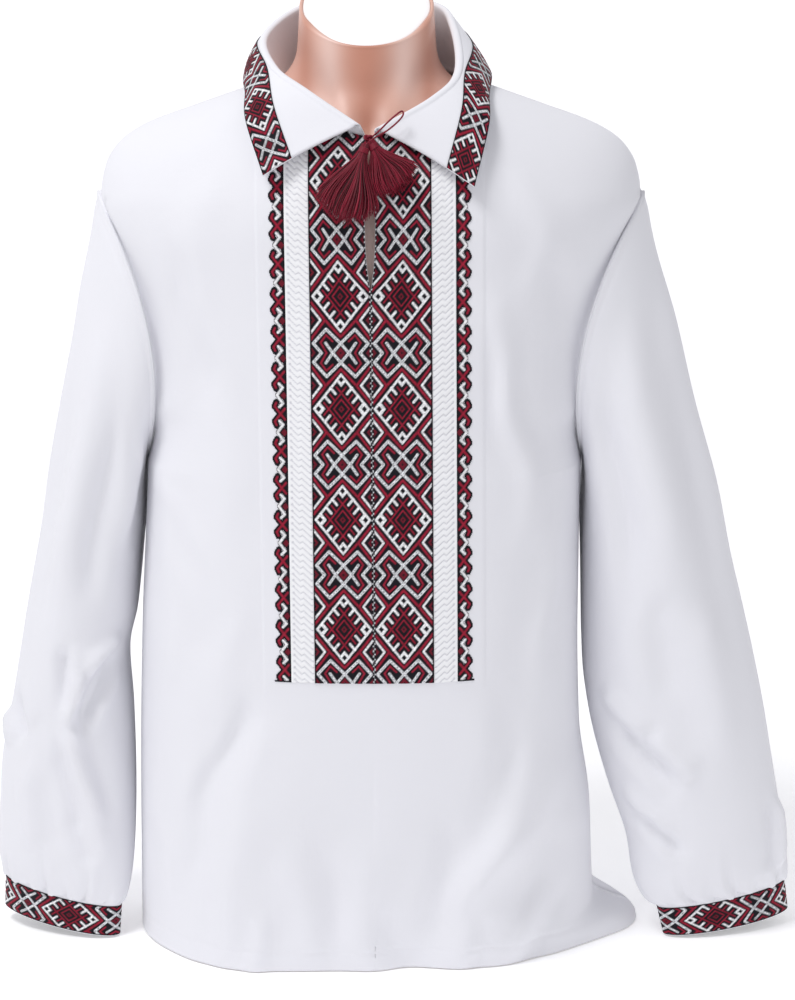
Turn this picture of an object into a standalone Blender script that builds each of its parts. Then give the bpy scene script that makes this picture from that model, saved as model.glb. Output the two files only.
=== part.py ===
"""Vyshyvanka shirt on a limbless torso dress form.

Units are metres.  +Z is up, the wearer faces -Y, and the left of the view from the front is -X.
The origin is the middle of the dress form's base, on the surface that it stands on.

Every cloth piece is an open surface of quads with a Solidify wall.  The body is worked out from
a table of level sections, the sleeves from a table of slanted rings, and the collar from a table
of cuts across it.  Tables are in millimetres and have one row for each section.
"""

import math

import bmesh
import bpy
import numpy as np
from mathutils import Vector

MM = 0.001

# ---------------------------------------------------------------- driving dimensions (metres)
COTTON_WALL = 0.001         # body, sleeves
COLLAR_WALL = 0.002         # two layers and interlining
TRIM_WALL = 0.001           # embroidered strips, lace, edging, collar band
SEAM_GAP = 0.0003           # between neighbouring pieces
HEM_HEIGHT = 0.0012         # the hem hangs to just above the surface

UNDERARM_HEIGHT = 0.440
SHOULDER_END_HEIGHT = 0.672
SEAM_LINE_Y = 0.003         # shoulder seams and side seams lie at this depth
ARMHOLE_HALF_DEPTH = 0.074
SHOULDER_ARCH = 0.130       # height over which the cloth turns over the shoulder
SECTION_SQUARENESS = 2.5    # exponent of the body's level sections
EDGE_FADE = 3.0             # how fast the armhole's depth dies away from the edge
FRONT_ARMHOLE_BOW = 0.028   # the armhole's middle lies this far in from its straight lean
BACK_ARMHOLE_BOW = 0.014

NECK_HALF_WIDTH = 0.080
NECK_FRONT_HEIGHT = 0.7275
NECK_BACK_HEIGHT = 0.783
SLIT_BOTTOM = 0.603
SLIT_HALF_WIDTH = 0.0042    # at its widest

PANEL_BOTTOM = 0.2690
STRIP_WIDTH = 0.0505        # embroidered strip, from the centre line
LACE_WIDTH = 0.0201
EDGING_WIDTH = 0.0136
PANEL_HALF_WIDTH = STRIP_WIDTH + LACE_WIDTH + EDGING_WIDTH
COLLAR_BAND_WIDTH = 0.030
COLLAR_STANDS_ABOVE = 0.0012    # the collar's seam edge over the neckline of the body

# ---------------------------------------------------------------- tables (millimetres)
# Half widths of the body at the side seams, up to the underarm.
SIDE_COLUMNS = ("height", "left", "right")
SIDE_SECTIONS = (
    (0, 214, 205),
    (60, 213, 202),
    (120, 212, 199),
    (200, 210, 188),
    (300, 206, 185),
    (400, 200, 185),
    (440, 198, 186),
)
SHOULDER_END_ACROSS = 0.236     # both sides; straight from the underarm up to here

# Depths of the body in the middle of the front and of the back.
DEPTH_COLUMNS = ("height", "front", "back")
DEPTH_SECTIONS = (
    (0, 132, 140),
    (120, 140, 143),
    (200, 142, 142),
    (300, 139, 140),
    (400, 132, 137),
    (500, 126, 135),
    (600, 122, 134),
    (800, 114, 126),
)

# Shoulder line: height of the seam above each half width.
SHOULDER_COLUMNS = ("across", "height")
SHOULDER_LINE = (
    (0, 786),
    (50, 781),
    (80, 771.5),
    (104, 763),
    (150, 747),
    (190, 732.5),
    (212, 720),
    (227, 702),
    (236, 672),
)

# Soft ridges (positive) and troughs of the body cloth, each along a straight run.
FOLD_COLUMNS = ("across_1", "height_1", "across_2", "height_2", "reach", "rise")
FRONT_FOLDS = (
    (-135, 0, -118, 130, 60, 15),
    (105, 575, 148, 400, 26, 5),
    (150, 170, 105, 20, 24, 6),
    (-112, 230, -180, 20, 26, -5),
    (-150, 520, -150, 300, 24, -4),
    (60, 120, 40, 0, 30, -5),
)
BACK_FOLDS = (
    (-60, 560, -95, 80, 30, 8),
    (70, 540, 110, 60, 32, 9),
    (0, 420, 12, 0, 34, -8),
    (-150, 330, -165, 0, 26, 7),
    (158, 300, 165, 0, 26, -6),
)

# Sleeve rings from the armhole to the cuff seam: the outer and inner points of each ring, and
# its half size across them.  Towards the cuff the inner side comes forward.
RING_COLUMNS = ("outer_x", "outer_y", "outer_z", "inner_x", "inner_y", "inner_z", "half_depth")
RING_BOWS = (1.0, 0.62, 0.30, 0.10)     # share of the armhole's bow that the first rings keep
LEFT_SLEEVE = (
    (-237.8, 3, 672.5, -200.6, 3, 439, 74),
    (-247.4, 3, 615, -202.4, 3, 415, 75),
    (-258, 2, 555, -204, 2, 390, 75),
    (-272, 0, 490, -207, 0, 361, 73),
    (-286, -2, 420, -209.5, -3, 330, 71),
    (-300, -4, 352, -212.5, -6, 298, 68),
    (-312, -6, 290, -220, -10, 262, 64),
    (-325, -7, 220, -217.5, -16, 210, 59),
    (-336, -7, 165, -216.5, -24, 150, 54),
    (-340, -7, 115, -217.5, -33, 100, 48),
    (-343, -7, 76, -220, -41, 62, 39),
    (-341, -8, 54, -224, -48, 39, 27),
    (-338.5, -9, 45.5, -229, -52, 31.5, 19),
)
RIGHT_SLEEVE = (
    (237.8, 3, 672.5, 188.6, 3, 439, 74),
    (250, 3, 615, 189.2, 3, 413, 76),
    (267, 2, 552, 188.6, 2, 384, 77),
    (284, 0, 487, 188.6, 0, 350, 75),
    (303, -2, 420, 189, -3, 312, 73),
    (321, -4, 353, 190, -6, 272, 70),
    (337, -6, 290, 192.5, -10, 235, 66),
    (353, -8, 222, 201, -16, 188, 60),
    (364, -9, 162, 216, -23, 137, 54),
    (373, -10, 112, 232, -31, 92, 47),
    (380, -11, 72, 238.5, -39, 55, 38),
    (383, -12, 50, 248, -46, 36, 27),
    (380, -12, 41.5, 260, -50, 29.5, 19),
)
# Cuffs: their upper and lower rings, in the same columns.
LEFT_CUFF = (
    (-338.6, -9, 44.6, -229.1, -52, 30.4, 19),
    (-340, -9, 15.5, -231.5, -52, 2.2, 19.5),
)
RIGHT_CUFF = (
    (380.1, -12, 40.6, 260.1, -50, 28.4, 19),
    (384, -12, 12.5, 266.5, -50, 2.2, 19.5),
)

# Collar cuts from the middle of the back to the front end: the turn round the neck seam (90 at
# the back, -90 in front), the roll line and the outer edge of the leaf.
COLLAR_COLUMNS = ("seam_turn", "roll_x", "roll_y", "roll_z", "edge_x", "edge_y", "edge_z")
LEFT_COLLAR = (
    (90, 0, 73, 832, 0, 92, 790),
    (48, -57, 58, 828, -72, 78, 786),
    (8, -88, 12, 808, -106, 18, 774),
    (-28, -79, -42, 790, -104, -47, 758),
    (-58, -53, -78, 766, -102, -86, 738),
    (-87, -10, -101, 738.5, -87, -116, 697),
)
RIGHT_COLLAR = (
    (90, 0, 73, 832, 0, 92, 790),
    (48, 56, 58, 829, 71, 78, 787),
    (8, 82, 12, 812, 101, 18, 776),
    (-28, 75, -44, 787, 99, -50, 759),
    (-58, 56, -79, 760, 98, -88, 736),
    (-87, 8, -101, 736, 86, -117, 690),
)

# Dress form sections.
FORM_COLUMNS = ("height", "half_width", "front", "back", "squareness")
FORM_SECTIONS = (
    (0, 156, 92, 98, 2.3),
    (70, 163, 99, 108, 2.3),
    (160, 158, 97, 104, 2.3),
    (270, 143, 92, 94, 2.3),
    (370, 149, 98, 99, 2.3),
    (470, 165, 107, 108, 2.4),
    (550, 176, 110, 114, 2.4),
    (620, 194, 105, 114, 2.2),
    (665, 208, 97, 106, 2.0),
    (692, 211, 91, 94, 1.8),
    (711, 205, 86, 80, 1.65),
    (725, 187, 82, 71, 1.55),
    (738, 158, 77, 64, 1.55),
    (750, 120, 69, 59, 1.5),
    (761, 87, 62, 57, 1.55),
    (773, 68, 59, 56, 1.8),
    (788, 60, 57, 56, 2.0),
)
NECK_RADIUS = 0.0575
NECK_TOP_HEIGHT = 0.826     # on the axis
NECK_TOP_SLOPE = 0.60       # rise for each metre towards the back
NECK_CAP_THICKNESS = 0.003

# Tie: knot, cord loop and tassels.
KNOT_CENTRE = (-0.001, -0.1075, 0.7265)
CORD_DIAMETER = 0.0015
TASSELS = (  # name, top, bottom, top radius, bottom radius, flattening front to back
    ("tassel_front", (-0.003, -0.1135, 0.7215), (-0.026, -0.1325, 0.6620), 0.0045, 0.0250, 0.40),
    ("tassel_side", (0.004, -0.1110, 0.7225), (0.0290, -0.1275, 0.6850), 0.0040, 0.0210, 0.32),
)

COTTON = (0.86, 0.86, 0.90)
LACE_WHITE = (0.90, 0.90, 0.92)
EMBROIDERY = (0.16, 0.02, 0.04)
BURGUNDY = (0.17, 0.01, 0.03)
SKIN = (0.71, 0.43, 0.34)
CAP_WHITE = (0.85, 0.84, 0.83)


# ---------------------------------------------------------------- tables and smooth reading
def column(rows, columns, name):
    """One column of a table, in metres."""
    return np.array([row[columns.index(name)] for row in rows], dtype=float) * MM


def smooth(at, xs, ys):
    """Read ys at the given places with a monotone cubic through the table's points."""
    at = np.clip(np.asarray(at, dtype=float), xs[0], xs[-1])
    steps = np.diff(xs)
    slopes = np.diff(ys) / steps
    tangents = np.zeros_like(ys)
    both = slopes[:-1] * slopes[1:]
    joined = np.where(both > 0, 2 * both / np.where(both > 0, slopes[:-1] + slopes[1:], 1), 0)
    tangents[1:-1] = joined
    tangents[0] = slopes[0]
    tangents[-1] = slopes[-1]
    index = np.clip(np.searchsorted(xs, at, side="right") - 1, 0, len(xs) - 2)
    t = (at - xs[index]) / steps[index]
    h = steps[index]
    return ((2 * t**3 - 3 * t**2 + 1) * ys[index] + (t**3 - 2 * t**2 + t) * h * tangents[index]
            + (3 * t**2 - 2 * t**3) * ys[index + 1] + (t**3 - t**2) * h * tangents[index + 1])


def side_width(name, height, bow):
    """Half width of the body: the side seam, then the armhole's lean, bowed in by a parabola."""
    levels = column(SIDE_SECTIONS, SIDE_COLUMNS, "height")
    widths = column(SIDE_SECTIONS, SIDE_COLUMNS, name)
    share = np.clip((height - UNDERARM_HEIGHT) / (SHOULDER_END_HEIGHT - UNDERARM_HEIGHT), 0, 1)
    lean = widths[-1] + (SHOULDER_END_ACROSS - widths[-1]) * share - 4 * bow * share * (1 - share)
    return np.where(height > UNDERARM_HEIGHT, lean, smooth(height, levels, widths))


def middle_depth(name, height):
    """Depth of the body in the middle of the front or back."""
    return smooth(height, column(DEPTH_SECTIONS, DEPTH_COLUMNS, "height"),
                  column(DEPTH_SECTIONS, DEPTH_COLUMNS, name))


def shoulder_height(x):
    """Height of the shoulder line above a place across."""
    return smooth(np.abs(x), column(SHOULDER_LINE, SHOULDER_COLUMNS, "across"),
                  column(SHOULDER_LINE, SHOULDER_COLUMNS, "height"))


def fold_rise(x, z, folds):
    """Sum of the folds: each falls off as a bell curve away from its straight run."""
    total = np.zeros(np.broadcast(x, z).shape)
    for row in folds:
        x1, z1, x2, z2, reach, rise = (value * MM for value in row)
        run_x, run_z = x2 - x1, z2 - z1
        along = np.clip(((x - x1) * run_x + (z - z1) * run_z) / (run_x**2 + run_z**2), 0, 1)
        away = np.hypot(x - x1 - along * run_x, z - z1 - along * run_z)
        total += rise * np.exp(-(away / reach) ** 2)
    return total


# ---------------------------------------------------------------- body surface
def side_reach(x, z, bow):
    """Half width of the body on the side that x lies on."""
    return np.where(x < 0, side_width("left", z, bow), side_width("right", z, bow))


def body_depth(x, z, depth_name, ridge, folds, bow):
    """Depth of the body cloth from the seam line: a section curve times the shoulder arch.

    The section is a superellipse between the middle and the side.  Above the underarm its end
    follows the armhole, half an ellipse.  Near the ridge the depth shrinks as a quarter circle.
    """
    armhole_middle = (UNDERARM_HEIGHT + SHOULDER_END_HEIGHT) / 2
    armhole_half = (SHOULDER_END_HEIGHT - UNDERARM_HEIGHT) / 2
    turn = np.clip((z - armhole_middle) / armhole_half, -1, 1)
    edge = ARMHOLE_HALF_DEPTH * np.sqrt(1 - turn**2)
    below_ridge = np.clip((ridge - z) / SHOULDER_ARCH, 0, 1)
    arch = np.sqrt(1 - (1 - below_ridge) ** 2)
    share = np.clip(np.abs(x) / side_reach(x, z, bow), 0, 1)
    curve = (1 - share**SECTION_SQUARENESS) ** (1 / SECTION_SQUARENESS)
    middle = middle_depth(depth_name, z) * arch + fold_rise(x, z, folds)
    return middle * curve + edge * (1 - curve) ** EDGE_FADE


def front_y(x, z):
    """Depth place of the front's middle surface."""
    return SEAM_LINE_Y - body_depth(x, z, "front", shoulder_height(x), FRONT_FOLDS,
                                    FRONT_ARMHOLE_BOW)


def back_y(x, z):
    """Depth place of the back's middle surface; its ridge is raised behind the neck."""
    raised = 0.020 * np.clip(1 - (x / NECK_HALF_WIDTH) ** 2, 0, 1)
    return SEAM_LINE_Y + body_depth(x, z, "back", shoulder_height(x) + raised, BACK_FOLDS,
                                    BACK_ARMHOLE_BOW)


def neck_height(x, middle_height):
    """Height of the neckline: lowest or highest in the middle, and the shoulder at its ends."""
    share = np.clip(np.abs(x) / NECK_HALF_WIDTH, 0, 1)
    end = shoulder_height(np.array(NECK_HALF_WIDTH))
    line = middle_height + (end - middle_height) * share**1.7
    return np.where(np.abs(x) < NECK_HALF_WIDTH, line, shoulder_height(x))


LOWER_ROWS = (HEM_HEIGHT, 0.014, 0.028, 0.045, 0.080, 0.130, 0.190, PANEL_BOTTOM, 0.330, 0.390)
ARMHOLE_STEPS = 12          # even turns round the front or back half of the armhole
UPPER_SHARES = (1 - np.cos(np.linspace(0, math.pi, ARMHOLE_STEPS + 1))) / 2


def row_heights(top):
    """Heights of the grid's rows for columns that end at the given tops."""
    lower = np.repeat(np.array(LOWER_ROWS)[:, None], len(top), axis=1)
    upper = UNDERARM_HEIGHT + UPPER_SHARES[:, None] * (top - UNDERARM_HEIGHT)[None, :]
    return np.vstack((lower, upper))


def hem_flare(points):
    """Push the hem's right corner out, where the cloth stands on the surface."""
    x, y, z = points[..., 0], points[..., 1], points[..., 2]
    near_side = np.clip((x - 0.10) / 0.10, 0, 1) ** 2
    low = np.exp(-(z / 0.026) ** 4)
    about = np.exp(-((y + 0.01) / 0.060) ** 2)
    points[..., 0] = x + 0.040 * near_side * low * about
    return points


def body_half(side, depth_at, inner_offsets, shares, neck_middle, bow):
    """One half of the front or back: rows by columns of points, from the centre line out.

    inner_offsets are places across of the inner columns, as a function of height.
    """
    count = inner_offsets(np.array([UNDERARM_HEIGHT])).shape[1]
    tops = neck_height(inner_offsets(np.array([NECK_FRONT_HEIGHT]))[0], neck_middle)
    outer_tops_x = side * (PANEL_HALF_WIDTH
                           + (SHOULDER_END_ACROSS - PANEL_HALF_WIDTH)
                           * np.sin(shares * math.pi / 2))
    tops = np.concatenate((tops, shoulder_height(outer_tops_x)))
    heights = row_heights(tops)
    across = np.empty_like(heights)
    for j in range(count):
        across[:, j] = inner_offsets(heights[:, j])[:, j]
    reach = side_width("left" if side < 0 else "right", heights[:, count:], bow)
    across[:, count:] = side * (PANEL_HALF_WIDTH
                                + (reach - PANEL_HALF_WIDTH) * np.sin(shares * math.pi / 2))
    depth = depth_at(across, heights)
    return hem_flare(np.stack((across, depth, heights), axis=-1))


def slit_half(z):
    """Half width of the neck slit: nothing below its foot, widest above the middle."""
    share = np.clip((z - SLIT_BOTTOM) / (NECK_FRONT_HEIGHT - SLIT_BOTTOM), 0, 1)
    return SLIT_HALF_WIDTH * np.sin(np.pi * np.minimum(share, 0.92) ** 0.8)


def panel_middle(z):
    """The panel leans a little: its middle moves towards +X lower down."""
    return 0.0035 * np.clip((0.70 - z) / (0.70 - PANEL_BOTTOM), 0, 1)


OUTER_SHARES = np.array([0.13, 0.27, 0.41, 0.55, 0.68, 0.80, 0.90, 1.0])


def front_inner(side):
    """Places across of the front's inner columns, on the panel's own lines."""
    offsets = np.array([0, STRIP_WIDTH / 2, STRIP_WIDTH, STRIP_WIDTH + LACE_WIDTH,
                        PANEL_HALF_WIDTH])

    def across(z):
        z = np.atleast_1d(z)
        half = slit_half(z)
        places = panel_middle(z)[:, None] + side * np.repeat(offsets[None, :], len(z), axis=0)
        places[:, 0] += side * half
        return places
    return across


def back_inner(side):
    """Places across of the back's inner columns."""
    offsets = side * np.array([0.0, 0.030, 0.060, PANEL_HALF_WIDTH])
    return lambda z: np.repeat(offsets[None, :], len(np.atleast_1d(z)), axis=0)


# ---------------------------------------------------------------- making meshes
def material(name, colour, roughness):
    """A Principled material with one colour."""
    made = bpy.data.materials.new(name)
    made.use_nodes = True
    shader = made.node_tree.nodes["Principled BSDF"]
    shader.inputs["Base Color"].default_value = (*colour, 1.0)
    shader.inputs["Roughness"].default_value = roughness
    return made


def grid_faces(rows, columns, wrap):
    """Quads of a grid of points, whose columns may close on themselves."""
    faces = []
    for i in range(rows - 1):
        for j in range(columns if wrap else columns - 1):
            k = (j + 1) % columns
            faces.append((i * columns + j, i * columns + k,
                          (i + 1) * columns + k, (i + 1) * columns + j))
    return faces


def make_object(name, vertices, faces, look, collection):
    """A mesh object in the part's collection."""
    mesh = bpy.data.meshes.new(name)
    mesh.from_pydata([tuple(v) for v in vertices], [], faces)
    mesh.materials.append(look)
    made = bpy.data.objects.new(name, mesh)
    collection.objects.link(made)
    mesh.shade_smooth()
    return made


def add_wall(made, thickness, offset=0.0):
    """Give an open surface its wall."""
    wall = made.modifiers.new("wall", "SOLIDIFY")
    wall.thickness = thickness
    wall.offset = offset
    wall.use_even_offset = False
    return made


def grid_piece(name, points, wall, look, collection, wrap=False):
    """A cloth piece from rows by columns of points."""
    rows, columns = points.shape[:2]
    made = make_object(name, points.reshape(-1, 3), grid_faces(rows, columns, wrap), look,
                       collection)
    return add_wall(made, wall)


def weld(made, distance=0.00005):
    """Join the points of two halves that meet on a line."""
    mesh = bmesh.new()
    mesh.from_mesh(made.data)
    bmesh.ops.remove_doubles(mesh, verts=mesh.verts, dist=distance)
    mesh.to_mesh(made.data)
    mesh.free()


def grid_normals(points):
    """Unit normals of a grid of points, from its central differences."""
    down = np.gradient(points, axis=0)
    across = np.gradient(points, axis=1)
    normals = np.cross(across, down)
    return normals / np.linalg.norm(normals, axis=2, keepdims=True)


# ---------------------------------------------------------------- cloth pieces
def build_front(look, collection):
    """Front: two half grids, joined on the centre line below the slit."""
    left, right = (body_half(side, front_y, front_inner(side), OUTER_SHARES, NECK_FRONT_HEIGHT,
                             FRONT_ARMHOLE_BOW) for side in (-1, 1))
    rows, columns = left.shape[:2]
    points = np.vstack((left[:, ::-1].reshape(-1, 3), right.reshape(-1, 3)))
    faces = grid_faces(rows, columns, False)
    shift = rows * columns
    faces += [tuple(v + shift for v in face) for face in faces]
    made = make_object("front", points, faces, look, collection)
    weld(made)
    return add_wall(made, COTTON_WALL), left, right


def build_back(look, collection):
    """Back: one grid, a seam gap behind the front's edges."""
    left, right = (body_half(side, back_y, back_inner(side), OUTER_SHARES, NECK_BACK_HEIGHT,
                             BACK_ARMHOLE_BOW) for side in (-1, 1))
    points = np.concatenate((left[:, :0:-1], right), axis=1)[:, ::-1]
    points[..., 1] += 2 * SEAM_GAP
    return grid_piece("back", points, COTTON_WALL, look, collection)


def strip_piece(name, half, side, inner, outer, look, collection):
    """A strip that lies on the front between two offsets from the panel's middle.

    Its points are the front's own, read along each row, and moved out past both walls.
    """
    first = len(LOWER_ROWS) - 3
    rows = half[first:-1, :7]
    lift = COTTON_WALL / 2 + SEAM_GAP + TRIM_WALL / 2
    normals = grid_normals(rows) * side
    raised = rows + lift * normals
    middle = panel_middle(rows[..., 2])
    offsets = np.abs(rows[..., 0] - middle)
    places = np.linspace(inner, outer, 3 if outer - inner > 0.03 else 2)
    points = np.empty((len(rows), len(places), 3))
    for i, row in enumerate(raised):
        start = max(inner, offsets[i, 0] + SEAM_GAP) if inner < 0.001 else inner
        local = np.linspace(start, outer, len(places))
        for axis in range(3):
            points[i, :, axis] = np.interp(local, offsets[i], row[:, axis])
    if side > 0:
        points = points[:, ::1]
    else:
        points = points[:, ::-1]
    return grid_piece(name, points, TRIM_WALL, look, collection)


def ring_points(row, count, bow_share=0.0):
    """One sleeve ring: an ellipse in the slanted plane through its outer and inner points.

    Near the armhole the front and back of the ring bow in towards the body, as its edge does.
    """
    values = np.array(row, dtype=float) * MM
    outer, inner, half_depth = values[0:3], values[3:6], values[6]
    side = np.sign(outer[0])
    middle = (outer + inner) / 2
    arm = (outer - inner) / 2
    depth = np.cross((0, 0, 1), arm)
    depth *= half_depth / np.linalg.norm(depth)
    angles = np.linspace(0, 2 * math.pi, count, endpoint=False)
    points = middle + np.cos(angles)[:, None] * arm + np.sin(angles)[:, None] * depth
    bow = np.where(points[:, 1] < middle[1], FRONT_ARMHOLE_BOW, BACK_ARMHOLE_BOW) * bow_share
    points[:, 0] -= side * bow * np.sin(angles) ** 2
    return points


def build_sleeve(name, table, look, collection):
    """Sleeve: rings from the armhole to the cuff seam, as one open tube."""
    bows = RING_BOWS + (0.0,) * (len(table) - len(RING_BOWS))
    points = np.stack([ring_points(row, 2 * ARMHOLE_STEPS, bow)
                       for row, bow in zip(table, bows)])
    return grid_piece(name, points, COTTON_WALL, look, collection, wrap=True)


def build_cuff(name, table, look, collection):
    """Cuff: a short embroidered band, open at both ends."""
    points = np.stack([ring_points(row, 2 * ARMHOLE_STEPS) for row in table])
    return grid_piece(name, points, 1.6 * COTTON_WALL, look, collection, wrap=True)


def neck_seam(turn, side):
    """A point of the neckline: turn is 90 degrees at the back and -90 in front."""
    x = side * NECK_HALF_WIDTH * np.cos(turn)
    front_z = neck_height(x, NECK_FRONT_HEIGHT)
    back_z = neck_height(x, NECK_BACK_HEIGHT)
    z = np.where(turn < 0, front_z, back_z)
    y = np.where(turn < 0, front_y(x, front_z), back_y(x, back_z))
    return np.stack((x, y, z + COLLAR_STANDS_ABOVE), axis=-1)


def collar_cuts(per_side=20):
    """Seam, roll and edge lines of the whole collar, from the left front round to the right."""
    lines = []
    for table, side in ((LEFT_COLLAR, -1), (RIGHT_COLLAR, 1)):
        at = np.linspace(0, len(table) - 1, per_side + 1)
        values = [catmull(at, np.array([row[k] for row in table], dtype=float))
                  for k in range(len(COLLAR_COLUMNS))]
        places = np.stack(values[1:], axis=-1) * MM
        seam = neck_seam(np.radians(np.clip(values[0], -89, 90)), side)
        lines.append(np.concatenate((seam, places), axis=1))
    whole = np.concatenate((lines[0][::-1], lines[1][1:]))
    return whole[:, 0:3], whole[:, 3:6], whole[:, 6:9]


def catmull(at, values):
    """Read values at fractional places with a smooth curve through every one of them."""
    padded = np.concatenate(([2 * values[0] - values[1]], values,
                             [2 * values[-1] - values[-2]]))
    index = np.clip(np.floor(at).astype(int), 0, len(values) - 2)
    t = at - index
    p0, p1, p2, p3 = (padded[index + k] for k in range(4))
    return 0.5 * (2 * p1 + (p2 - p0) * t + (2 * p0 - 5 * p1 + 4 * p2 - p3) * t**2
                  + (3 * p1 - p0 - 3 * p2 + p3) * t**3)


def collar_surface():
    """Rows of the collar: up the stand, over the roll and down the leaf to its edge."""
    seam, roll, edge = collar_cuts()
    out = edge - roll
    out[:, 2] = 0
    out /= np.linalg.norm(out, axis=1, keepdims=True)
    half_roll = 0.0028
    up = np.array([0, 0, 1.0])
    inner_roll = roll - out * half_roll
    outer_roll = roll + out * half_roll
    crest = roll + up * half_roll * 0.7
    fall = edge - outer_roll
    length = np.linalg.norm(fall, axis=1, keepdims=True)
    border = edge - fall / length * COLLAR_BAND_WIDTH
    bulge = out * 0.003 + up * 0.001
    middle = (outer_roll + border) / 2 + bulge * 0.6
    rows = [seam, (seam + inner_roll) / 2, inner_roll, crest, outer_roll, middle,
            border + bulge * 0.8, edge]
    return np.stack(rows)


def build_collar(look, band_look, collection):
    """Collar, and the embroidered band that lies on its leaf along the outer edge."""
    surface = collar_surface()
    collar = grid_piece("collar", surface, COLLAR_WALL, look, collection)
    leaf = surface[-2:]
    lift = COLLAR_WALL / 2 + 2 * SEAM_GAP + TRIM_WALL / 2
    band = leaf + lift * grid_normals(leaf)
    grid_piece("collar_band", band, TRIM_WALL, band_look, collection)
    return collar


# ---------------------------------------------------------------- dress form
def form_ring(height, half_width, front, back, squareness, count=40):
    """A level section of the form: two half superellipses."""
    angles = np.linspace(0, 2 * math.pi, count, endpoint=False)
    cosine, sine = np.cos(angles), np.sin(angles)
    power = 2 / squareness
    x = half_width * np.sign(cosine) * np.abs(cosine) ** power
    depth = np.where(sine < 0, front, back)
    y = depth * np.sign(sine) * np.abs(sine) ** power
    return np.stack((x, y, np.full(count, height)), axis=-1)


def build_form(look, cap_look, collection):
    """Limbless torso: closed between its base and the slanted cut of its neck."""
    rings = [form_ring(*(value * MM for value in row[:4]), row[4]) for row in FORM_SECTIONS]
    top = form_ring(0, NECK_RADIUS, NECK_RADIUS * 0.97, NECK_RADIUS * 0.97, 2.0)
    below = rings[-1]
    top[:, 2] = NECK_TOP_HEIGHT + NECK_TOP_SLOPE * top[:, 1]
    rings.append(below * 0.35 + top * 0.65)
    rings.append(top)
    points = np.stack(rings)
    rows, columns = points.shape[:2]
    faces = grid_faces(rows, columns, True)
    last = (rows - 1) * columns
    faces.append(tuple(range(columns - 1, -1, -1)))
    faces.append(tuple(range(last, last + columns)))
    make_object("dress_form", points.reshape(-1, 3), faces, look, collection)

    rim = form_ring(0, NECK_RADIUS * 0.97, NECK_RADIUS * 0.94, NECK_RADIUS * 0.94, 2.0)
    rim[:, 2] = NECK_TOP_HEIGHT + NECK_TOP_SLOPE * rim[:, 1]
    normal = np.array([0, -NECK_TOP_SLOPE, 1.0])
    normal /= np.linalg.norm(normal)
    lower = rim + normal * SEAM_GAP
    upper = rim * (0.97, 0.97, 1) + normal * (SEAM_GAP + NECK_CAP_THICKNESS)
    upper[:, 2] = (NECK_TOP_HEIGHT + NECK_TOP_SLOPE * upper[:, 1]
                   + (SEAM_GAP + NECK_CAP_THICKNESS) / normal[2])
    cap = np.stack((lower, upper))
    faces = grid_faces(2, columns, True)
    faces.append(tuple(range(columns - 1, -1, -1)))
    faces.append(tuple(range(columns, 2 * columns)))
    make_object("neck_cap", cap.reshape(-1, 3), faces, cap_look, collection)


# ---------------------------------------------------------------- tie
def build_tassel(name, top, bottom, top_radius, bottom_radius, flattening, look, collection):
    """A tassel's reach: a flared bell round a straight line, flatter front to back."""
    top, bottom = Vector(top), Vector(bottom)
    axis = (bottom - top).normalized()
    across = axis.cross(Vector((0, 1, 0))).normalized()
    deep = axis.cross(across)
    length = (bottom - top).length
    profile = ((0.0, 0.75), (0.10, 1.0), (0.20, 0.92), (0.45, 0.0), (0.75, 0.0), (1.0, 0.0))
    spread = ((0.45, 0.60), (0.75, 0.90), (1.0, 1.0))
    rings = []
    for share, head in profile:
        wide = dict(spread).get(share)
        radius = top_radius * head if wide is None else bottom_radius * wide
        for k in range(14):
            angle = 2 * math.pi * k / 14
            thin = 1.0 if wide is None else flattening
            rings.append(top + axis * (length * share) + across * (radius * math.cos(angle))
                         + deep * (radius * thin * math.sin(angle)))
    rows = len(profile)
    faces = grid_faces(rows, 14, True)
    faces.append(tuple(range(13, -1, -1)))
    faces.append(tuple(range((rows - 1) * 14, rows * 14)))
    return make_object(name, rings, faces, look, collection)


def build_knot(look, collection):
    """The knot that ties the collar shut."""
    bpy.ops.mesh.primitive_uv_sphere_add(segments=14, ring_count=8, radius=0.0034,
                                         location=KNOT_CENTRE)
    knot = bpy.context.object
    knot.name = "tie_knot"
    knot.scale = (1.0, 0.75, 1.0)
    bpy.ops.object.transform_apply(location=False, rotation=False, scale=True)
    knot.data.materials.append(look)
    for owner in list(knot.users_collection):
        owner.objects.unlink(knot)
    collection.objects.link(knot)


def build_cord(look, collection):
    """The cord's loop, from the knot up over the right leaf and back to the knot."""
    route = ((0.0024, -0.1083, 0.7281), (0.0085, -0.1105, 0.7335), (0.0150, -0.1105, 0.7400),
             (0.0215, -0.1080, 0.7455), (0.0262, -0.1055, 0.7485), (0.0278, -0.1058, 0.7470),
             (0.0262, -0.1085, 0.7435), (0.0205, -0.1120, 0.7380), (0.0130, -0.1135, 0.7325),
             (0.0030, -0.1112, 0.7266))
    at = np.linspace(0, len(route) - 1, 30)
    places = np.stack([catmull(at, np.array(line)) for line in zip(*route)], axis=-1)
    curve = bpy.data.curves.new("tie_cord", "CURVE")
    curve.dimensions = "3D"
    curve.bevel_depth = CORD_DIAMETER / 2
    curve.bevel_resolution = 2
    curve.use_fill_caps = True
    spline = curve.splines.new("POLY")
    spline.points.add(len(places) - 1)
    for point, place in zip(spline.points, places):
        point.co = (*place, 1.0)
    curve.materials.append(look)
    cord = bpy.data.objects.new("tie_cord", curve)
    collection.objects.link(cord)


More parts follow.
